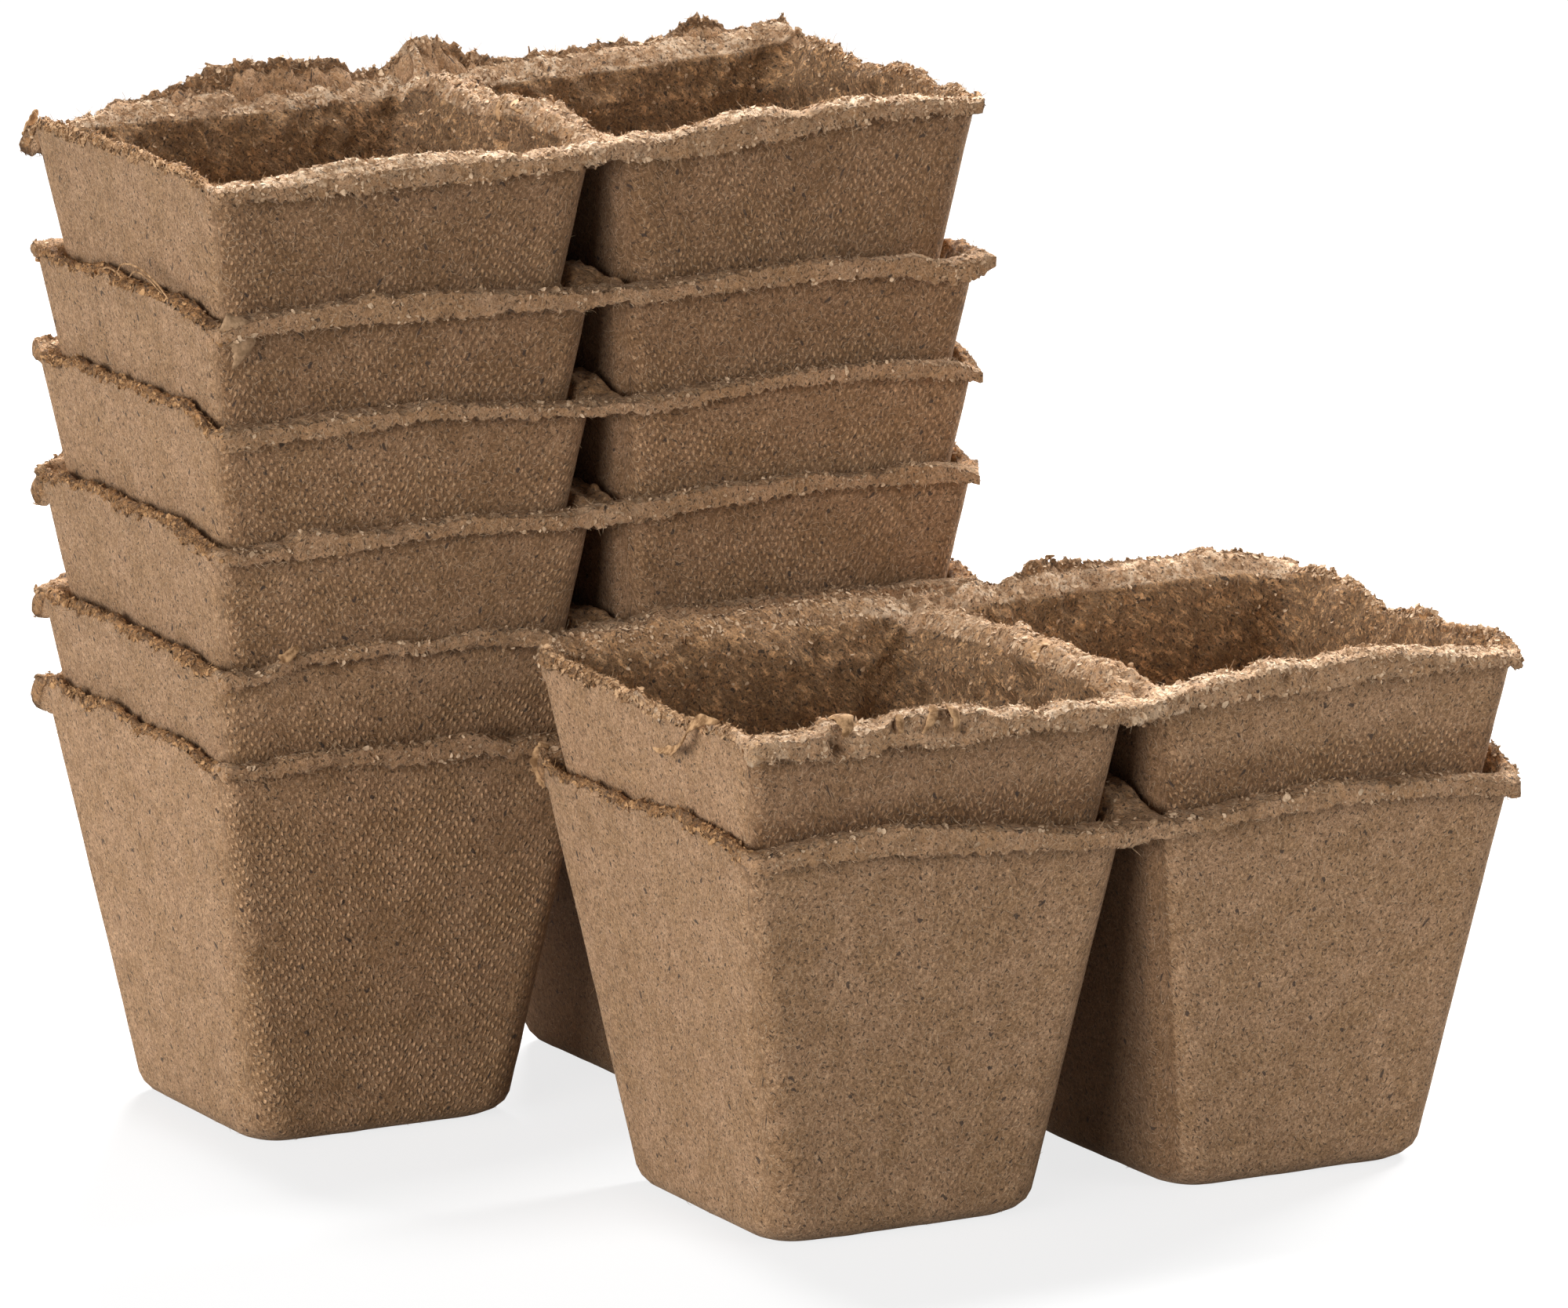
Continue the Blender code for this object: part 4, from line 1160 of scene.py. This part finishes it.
def masks_of(strip, points, normals, kinds):
    """Where the surface is torn, inside, lighter at the lip and ledge (partly dust, partly painted highlight), printed
    by the screen, or given painted shade.
    """
    x, y, z = points.T
    below_rim = strip.rim_height(x, y) - z
    is_rim = among(kinds, "ledge", "rim", "edge")
    is_inner = among(kinds, "inner", "floor")
    wander = 0.0005 * (1 + 0.8 * noise(points, 0.005, strip.seed + 90))
    torn = np.where(is_rim, 1.0, 1 - smooth(below_rim, wander * 0.4, wander * 1.8))
    front = 1 - smooth(y, *FRONT_BAND)
    # On the back lip the stain stays on the torn edge, where it is partly a painted glow of light shining through the
    # thin pulp from behind
    behind = smooth(y, *BACK_BAND) * np.where(kinds == KIND["edge"], 0.35, 1.0)
    middle = 1 - smooth(np.abs(x), 0.004, 0.009)
    torn = torn * (1 - 0.80 * front) * (1 - 0.75 * behind) * (1 - 0.6 * middle)
    # Painted highlight on the top strips' ledge behind and on the ridge between the pots
    painted_rim_highlight = np.where(kinds == KIND["ledge"], behind, 0.0) + np.where(is_rim, 0.7 * middle, 0.0)
    if strip.look["nested"]:
        painted_rim_highlight = painted_rim_highlight * 0.3
    # The front lip is lighter: partly dust, partly painted highlight
    lip = np.where(is_rim, front, 0.0) * np.where(kinds == KIND["edge"], 0.20, 1.0)
    # Painted highlight along the front half of the top right strip's left end rim
    if strip.name == "right_strip_2":
        pale = smooth(-x, 0.070, 0.074) * (1 - smooth(y, -0.002, 0.010))
        torn = torn * (1 - 0.8 * pale)
        lip = np.maximum(lip, np.where(is_rim, pale, 0.0))
    lip = np.maximum(lip * (0.45 if strip.look["nested"] else 1.3), painted_rim_highlight * 1.3)
    if strip.name == "right_strip_2":
        lip = lip * np.where(kinds == KIND["ledge"], smooth(x, -0.030, 0.0), 1.0)
    on_edge = np.where(kinds == KIND["edge"], 0.3 * (1 - front), 0.6)
    inside = np.where(is_inner, 1.0, np.where(is_rim, on_edge, 0.0)) * (1 - 0.8 * lip).clip(0, 1)
    facing = smooth(np.abs(normals[:, 1]), 0.55, 0.85)
    if strip.name == "right_strip_1":
        strength = np.full(len(points), 0.30)
    elif strip.name == "right_strip_2":
        strength = 0.30 + 1.0 * (1 - smooth(z, 0.055, 0.061))
    else:
        strength = 0.65 + 0.35 * (1 - smooth(z, 0.060, 0.068))
    printed = np.where(kinds == KIND["outer"], strength * (0.12 + 0.88 * facing), 0.0)
    # Painted shade: in the crease under the front lip, between the pots, and in the bites (where it also stands for
    # brown stain) and dents
    under_lip = (table(strip.look["lip"], x, 2) - z) * 1000
    painted_shade = np.where(among(kinds, "outer", "web"), front * (1 - smooth(under_lip, 0.3, 1.7)), 0.0)
    between_pots = (kinds == KIND["outer"]) & (np.abs(x) < 0.020) & (np.abs(normals[:, 0]) > 0.6)
    painted_shade = np.where(between_pots, 0.8, painted_shade)
    if not strip.look["nested"]:
        # Painted shade on the top strips' back flange, which faces the front, away from the light behind it
        painted_flange_shade = smooth(y, 0.0385, 0.0395) * (1 - 0.5 * middle)
        painted_shade = np.where(among(kinds, "rim", "edge"), np.maximum(painted_shade, 0.65 * painted_flange_shade), painted_shade)
    for depth, close in bites_at(strip.look, points):
        painted_shade = np.maximum(painted_shade, front * close.clip(0, 1) * min(1.0, depth / 2.0))
    for depth, close in dents_at(strip.look, points):
        if depth > 0:
            painted_shade = np.maximum(painted_shade, close.clip(0, 1))
    # Painted shade on the front walls, where less light falls, and on the top right strip a painted shadow band low
    # down, just above the lip of the strip it sits in
    darker = np.interp(x, (-0.03, 0.03), FRONT_PAINTED_SHADES[strip.name])
    if strip.name == "right_strip_2":
        darker = darker + 0.45 * (1 - smooth(z, 0.055, 0.062))
    painted_shade = np.maximum(painted_shade, np.where(kinds == KIND["outer"], darker * smooth(-normals[:, 1], 0.45, 0.80), 0.0))
    return {"torn": torn, "inside": inside, "lip": lip, "print": printed, "painted_shade": painted_shade}


def add_loose(name, body, parts, material, smooth_faces=True, rust=None):
    """Loose pieces; rust says for each point how much of it is stained like the torn ends."""
    points, faces = joined(parts)
    points[:, 2] = np.maximum(points[:, 2], 0.0001)
    masks = {"torn": np.zeros(len(points)) if rust is None else rust}
    made = surface_piece(name, points, faces, masks=masks, smooth_faces=smooth_faces)
    made.data.materials.append(material)
    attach(made, body)


SHRED_THICKNESS = 0.28  # in millimetres

# The shreds and flaps that stand out in the photograph, in the strip's own millimetres: path, widths along it,
# direction across it, and thickness where it isn't the usual one
LOOSE_SHREDS = {
    "right_strip_2": (
        # A peeled curl hanging from the left end's rim
        (((-77.8, -28.5, 75.6), (-79.6, -25.2, 75.8), (-80.6, -22.6, 73.8), (-80.8, -21.0, 71.2), (-80.7, -18.0, 69.2),
          (-80.7, -15.4, 69.0), (-80.9, -13.2, 68.4), (-81.3, -11.6, 68.8)),
         (0.8, 2.0, 1.9, 1.7, 1.8, 1.5, 1.0, 0.2), (0.6, 0, 1)),
        # Folds in the front rim
        (((-61.5, -39.6, 76.4), (-61.2, -41.6, 76.6), (-60.8, -42.4, 74.9), (-61.4, -42.0, 73.4)),
         (3.6, 3.4, 2.6, 1.2), (1, 0, 0)),
        (((-50.5, -41.2, 75.6), (-50.8, -42.0, 74.4), (-50.6, -42.2, 72.6)), (1.4, 1.4, 0.6), (1, 0, 0)),
        (((-43.8, -40.6, 76.2), (-44.2, -42.0, 75.2), (-45.4, -42.4, 73.4), (-46.6, -42.2, 72.0)),
         (1.0, 1.8, 1.2, 0.4), (1, 0, 0.3)),
        (((-41.0, -40.6, 76.0), (-40.6, -42.2, 75.2), (-40.2, -42.8, 73.4), (-40.6, -42.6, 71.6)),
         (1.0, 1.7, 1.3, 0.5), (1, 0, -0.2)),
        (((-0.5, -8.0, 75.6), (-2.4, -6.0, 76.2), (-4.0, -7.0, 74.6), (-4.6, -8.5, 72.8)), (2.6, 3.0, 2.0, 0.6),
         (0, 1, 0.2)),
        (((25.0, 41.0, 79.0), (26.4, 41.2, 80.6), (28.4, 41.2, 80.8)), (1.4, 1.1, 0.3), (1, 0, 0.6)),
    ),
    "left_strip_6": (
        # A horn on the torn back edge, and the ragged left tip
        (((-33.5, 41.0, 81.4), (-35.2, 41.2, 82.8), (-37.6, 41.4, 82.3), (-40.0, 41.4, 82.5), (-42.2, 41.4, 83.6)),
         (1.2, 1.7, 1.2, 0.9, 0.3), (0, 0.3, 1)),
        (((-77.6, 40.6, 72.0), (-77.3, 41.0, 74.2), (-76.6, 41.4, 76.4), (-75.8, 41.6, 78.0)),
         (3.2, 3.6, 2.0, 0.5), (1, 0.4, 0), 0.5),
        (((-78.0, 40.8, 74.6), (-77.6, 41.4, 72.4), (-76.6, 42.0, 70.4)), (2.6, 2.0, 0.4), (1, 0.4, 0), 0.5),
        (((24.4, 41.0, 78.4), (24.6, 41.1, 79.6), (24.4, 41.1, 80.6)), (0.5, 0.3, 0.15), (1, 0, 0), 0.2),
        # Peeled layers on the ridge between the pots
        (((1.5, -4.0, 76.4), (-1.0, -3.0, 77.6), (-3.0, -6.0, 76.8), (-3.4, -12.0, 76.0), (-2.2, -17.0, 75.4)),
         (1.2, 1.6, 1.4, 1.1, 0.4), (1, 0, 0.4)),
        (((-1.5, -2.0, 76.2), (-2.8, -1.0, 77.6), (-4.2, -2.0, 75.8), (-4.4, -3.5, 74.2)), (1.2, 1.6, 1.4, 0.5),
         (0, 1, 0)),
    ),
    "left_strip_5": (
        # The front lip's left end, folded down over the wall
        (((-76.8, -40.0, 72.6), (-74.6, -40.9, 71.4), (-73.2, -40.5, 68.8), (-73.6, -39.7, 66.0), (-74.4, -38.8, 64.0)),
         (3.0, 5.4, 4.6, 2.4, 0.4), (1, 0, 0.2), 0.4),
        # Long fibres arching over the left end's rim
        (((-79.0, -0.5, 76.6), (-79.6, -3.5, 78.6), (-80.0, -9.0, 79.2), (-80.0, -15.0, 78.4), (-79.8, -19.5, 76.8),
          (-79.2, -22.6, 74.6)), (0.30, 0.36, 0.34, 0.36, 0.32, 0.26), (0, 0.3, 1), 0.16),
        (((-79.2, -6.0, 76.4), (-79.9, -10.0, 78.2), (-80.1, -15.5, 77.8), (-79.6, -20.8, 75.4)),
         (0.26, 0.30, 0.30, 0.20), (0, 0.3, 1), 0.14),
        (((-79.2, -2.0, 76.4), (-79.5, 2.0, 77.4), (-79.8, 5.4, 76.6)), (0.4, 0.3, 0.15), (0, 0.3, 1), 0.14),
    ),
    "right_strip_1": (
        # The knob that the rim turns into at its far left corner
        (((-75.2, 40.2, 69.2), (-75.5, 40.8, 71.0), (-75.7, 41.0, 73.4), (-75.8, 41.0, 75.6), (-75.4, 40.8, 77.0)),
         (1.6, 3.2, 3.9, 3.4, 1.5), (1, -0.5, 0), 1.6),
    ),
    "left_strip_2": (
        (((-66.5, -40.4, 74.6), (-65.0, -41.0, 75.8), (-63.4, -40.8, 77.0)), (2.4, 2.0, 0.7), (0.7, 0, -0.7), 0.4),
        (((-77.2, 40.4, 74.0), (-78.0, 41.0, 75.4), (-77.6, 41.4, 76.6)), (1.8, 1.2, 0.4), (0, 1, 0)),
    ),
}


def special_shreds(strip):
    """The shreds of one strip, each as points and faces."""
    found = []
    for path, widths, across_axis, *other in LOOSE_SHREDS.get(strip.name, ()):
        thickness = other[0] if other else SHRED_THICKNESS
        points, faces = shred_mesh(np.array(path) / 1000, np.array(widths) / 1000, across_axis, thickness / 1000,
                                   strip.seed + len(found))
        found.append((placed_in_stack(strip, points), faces))
    return found


def dress(strip):
    """Make one strip's surface, its loose flakes and its fibres, and put them on its body."""
    look = strip.look
    points, faces, uvs, kinds = pulp_mesh(strip)
    points = roughen(strip, points, faces, kinds)
    x, y, z = points.T
    normals = normals_of(points, faces)
    masks = masks_of(strip, points, normals, kinds)
    world = placed_in_stack(strip, points)
    shift = np.array([strip.seed * 0.37, strip.seed * 0.23])
    piece = surface_piece(f"{strip.name}_pulp", world, faces, uvs + shift, masks)
    piece.data.materials.append(pulp_material(f"{strip.name}_pulp", TONES_AND_PAINTED_LIGHT[strip.name]))
    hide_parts(strip.name)
    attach(piece, strip.name)

    # Flakes that peel from the torn rim
    draw = np.random.default_rng(strip.seed)
    is_rim = among(kinds, "ledge", "rim", "edge")
    out = smooth(np.abs(y), 0.0365, 0.0380) + smooth(np.abs(x), 0.0755, 0.0770)
    weight = np.where(is_rim, 1.0, 0.0) * np.where(look["nested"], np.clip(out, 0.05, 1), 1.0)
    weight = weight * np.where(kinds == KIND["edge"], 1.4, np.where(kinds == KIND["ledge"], 1.6, 1.0))
    if not look["nested"]:
        ledge = (kinds == KIND["inner"]) & (z > 0.066)
        weight = np.where(ledge, 0.30, weight)
    flakes = look["flakes"]
    at = draw.choice(len(points), flakes, p=weight / weight.sum())
    sizes = draw.uniform(*FLAKE_SIZES, flakes) * np.where(draw.random(flakes) < 0.06, 1.7, 1.0)
    flake = flake_mesh(world[at] + normals[at] * 0.00006, normals[at], sizes, strip.seed + 3)
    stained = smooth(-x, 0.0745, 0.0765) * (1 - smooth(y, 0.036, 0.039))
    stained = stained * (0.75 if look["nested"] else 0.45)
    rust = np.repeat(stained[at], len(flake[0]) // flakes)
    add_loose(f"{strip.name}_flakes", strip.name, [flake], FLAKES, smooth_faces=False, rust=rust)
    shreds = special_shreds(strip)
    if strip.name == "left_strip_5":
        add_loose(f"{strip.name}_flap", strip.name, shreds[:1], FLAPS)
        shreds = shreds[1:]
    if shreds:
        add_loose(f"{strip.name}_shreds", strip.name, shreds, SHREDS)

    # Fibres that stand out of the torn rim, and a few from the walls
    on_rim = np.where(is_rim, np.where(kinds == KIND["edge"], 3.0, 1.0) * np.clip(out + 0.15, 0, 1), 0.0)
    on_wall = np.where(kinds == KIND["outer"], 0.3 + 0.7 * smooth(z, 0.030, 0.060), 0.0)
    weight = 0.6 * on_rim / on_rim.sum() + 0.4 * on_wall / on_wall.sum()
    roots = draw.choice(len(points), FIBRE_COUNT, p=weight)
    loose = unit(draw.normal(size=(FIBRE_COUNT, 3)))
    lying = np.where(kinds[roots] == KIND["outer"], 0.10, 0.50)[:, None]
    flat_way = unit(loose - normals[roots] * np.sum(loose * normals[roots], axis=1, keepdims=True))
    directions = unit(normals[roots] * lying + flat_way * 0.9 + np.array([0, 0, 0.05]))
    lengths = draw.uniform(*FIBRE_LENGTHS, FIBRE_COUNT) * np.where(draw.random(FIBRE_COUNT) < 0.10, 1.7, 1.0)
    radii = draw.uniform(*FIBRE_RADII, FIBRE_COUNT)
    hair = fibre_mesh(world[roots] - normals[roots] * 0.0001, directions, lengths, radii, strip.seed + 5)
    rust = np.repeat(np.where(kinds[roots] == KIND["outer"], 0.0, stained[roots]), len(hair[0]) // FIBRE_COUNT)
    add_loose(f"{strip.name}_fibres", strip.name, [hair], FIBRES, rust=rust)


FIBRES = shred_material("fibres", (0.33, 0.20, 0.105), (0.66, 0.48, 0.31), 420)
FLAKES = shred_material("flakes", (0.30, 0.175, 0.09), (0.70, 0.50, 0.325), 500)
FLAPS = shred_material("flaps", (0.30, 0.185, 0.10), (0.48, 0.305, 0.175), 900)
SHREDS = shred_material("shreds", (0.20, 0.105, 0.045), (0.54, 0.325, 0.165), 650)
left_strips = strips_of("left", LEFT_RISES, LEFT_SEED, 0.0)
right_strips = strips_of("right", RIGHT_RISES, RIGHT_SEED, RIGHT_TURN)
for strip in left_strips + right_strips:
    dress(strip)


# Floor, light and camera

WORLD_LEVEL = 0.14
FLOOR_COLOUR = (0.22, 0.22, 0.22)
FLOOR_HALF = 3
# The floor's brightness to the camera, from the object's shadow outwards
SHADOW_REACH = {"From Min": 0.22, "From Max": 0.60, "To Min": 0.78, "To Max": 1.0}

# Lamps: place, target, size and watts
LIGHTS = {
    "left_low": ((-1.5, -0.25, 0.15), (0, 0, 0.08), (0.8, 0.8), 14.8),
    "left_front": ((-1.27, -0.80, 0.30), (0, 0, 0.08), (0.6, 0.6), 9.7),
    "over": ((-0.15, 0.42, 1.5), (0, 0, 0.12), (0.25, 0.25), 15.0),
    "back_top": ((0.45, 0.9, 0.85), (0, 0, 0.15), (0.45, 0.35), 36.0),
    "right_fill": ((0.75, -1.15, 0.45), (0.05, 0, 0.08), (0.7, 0.6), 5.0),
    "right_top": ((1.15, 0.32, 1.0), (0, 0, 0.12), (0.35, 0.35), 24.0),
}


def seen_directly(tree):
    """1 for rays that look straight at a surface, or at it in a gloss or through glass; 0 for light that it gives."""
    path = node(tree, "LightPath").outputs
    total = path["Is Camera Ray"]
    for kind in ("Is Glossy Ray", "Is Transmission Ray"):
        total = node(tree, "Math", {0: total, 1: path[kind]}, operation="ADD", use_clamp=True).outputs[0]
    return total


def floor_material():
    """White to the camera, darker in the object's shadow."""
    made = bpy.data.materials.new("floor")
    made.use_nodes = True
    tree = made.node_tree
    tree.nodes.clear()
    matt = node(tree, "BsdfDiffuse", {"Color": FLOOR_COLOUR})
    far = node(tree, "VectorMath", {0: node(tree, "TexCoord").outputs["Object"]}, operation="LENGTH")
    inputs = {"Value": far.outputs["Value"], **SHADOW_REACH}
    share = node(tree, "MapRange", inputs, clamp=True, interpolation_type="SMOOTHSTEP")
    level = node(tree, "Math", {0: seen_directly(tree), 1: share.outputs[0]}, operation="MULTIPLY")
    glow = node(tree, "Emission", {"Strength": level.outputs[0]})
    both = node(tree, "AddShader", {0: matt.outputs[0], 1: glow.outputs[0]})
    node(tree, "OutputMaterial", {0: both.outputs[0]})
    return made


floor_points = FLOOR_HALF * np.array([(-1, -1, 0), (1, -1, 0), (1, 1, 0), (-1, 1, 0)], float)
floor = surface_piece("floor", floor_points, np.array([(0, 1, 2, 3)]), smooth_faces=False)
floor.data.materials.append(floor_material())

world = bpy.data.worlds.new("studio")
bpy.context.scene.world = world
world.use_nodes = True
tree = world.node_tree
tree.nodes.clear()
level = node(tree, "MapRange", {"Value": seen_directly(tree), "To Min": WORLD_LEVEL, "To Max": 1.0}, clamp=True)
back = node(tree, "Background", {"Color": (1.0, 1.0, 1.0), "Strength": level.outputs[0]})
node(tree, "OutputWorld", {0: back.outputs[0]})

for name, (place, target, size, watts) in LIGHTS.items():
    light = bpy.data.lights.new(name, "AREA")
    light.shape = "RECTANGLE"
    light.size, light.size_y = size
    light.energy = watts
    lamp = bpy.data.objects.new(name, light)
    bpy.context.scene.collection.objects.link(lamp)
    lamp.location = place
    lamp.rotation_euler = (Vector(target) - Vector(place)).to_track_quat("-Z", "Y").to_euler()


# The camera, from a fit of the strips' straight edges in the photograph
FOCAL_PIXELS = 9234.4
SENSOR_WIDTH = 36.0
PHOTO_SIZE = (2000, 1668)
FIT_CENTRE = (1110.4, 976.4)
FIT_PLACE = Vector((-0.59714, -1.16904, 0.32607))
FIT_AHEAD = Vector((0.48877, 0.84931, -0.19943))
FIT_RIGHT = Vector((0.86714, -0.49805, 0.00414))
FIT_UP = Vector((0.09581, 0.17495, 0.97990))

stand = stack_place("left_strip_1")
ahead = FIT_AHEAD * FOCAL_PIXELS + FIT_RIGHT * (PHOTO_SIZE[0] / 2 - FIT_CENTRE[0])
ahead = (ahead - FIT_UP * (PHOTO_SIZE[1] / 2 - FIT_CENTRE[1])).normalized()
right = FIT_RIGHT - ahead * FIT_RIGHT.dot(ahead)
right.normalize()
up = right.cross(ahead)
camera = bpy.data.objects.new("camera", bpy.data.cameras.new("camera"))
bpy.context.scene.collection.objects.link(camera)
camera.data.sensor_fit = "HORIZONTAL"
camera.data.sensor_width = SENSOR_WIDTH
camera.data.lens = FOCAL_PIXELS * SENSOR_WIDTH / PHOTO_SIZE[0]
camera.data.clip_start = 0.05
camera.data.clip_end = 20.0
camera.matrix_world = Matrix.Translation(FIT_PLACE + Vector((stand[0], stand[1], 0))) @ Matrix(
    (right, up, -ahead)).transposed().to_4x4()
bpy.context.scene.camera = camera

bpy.context.scene.view_settings.view_transform = "Standard"
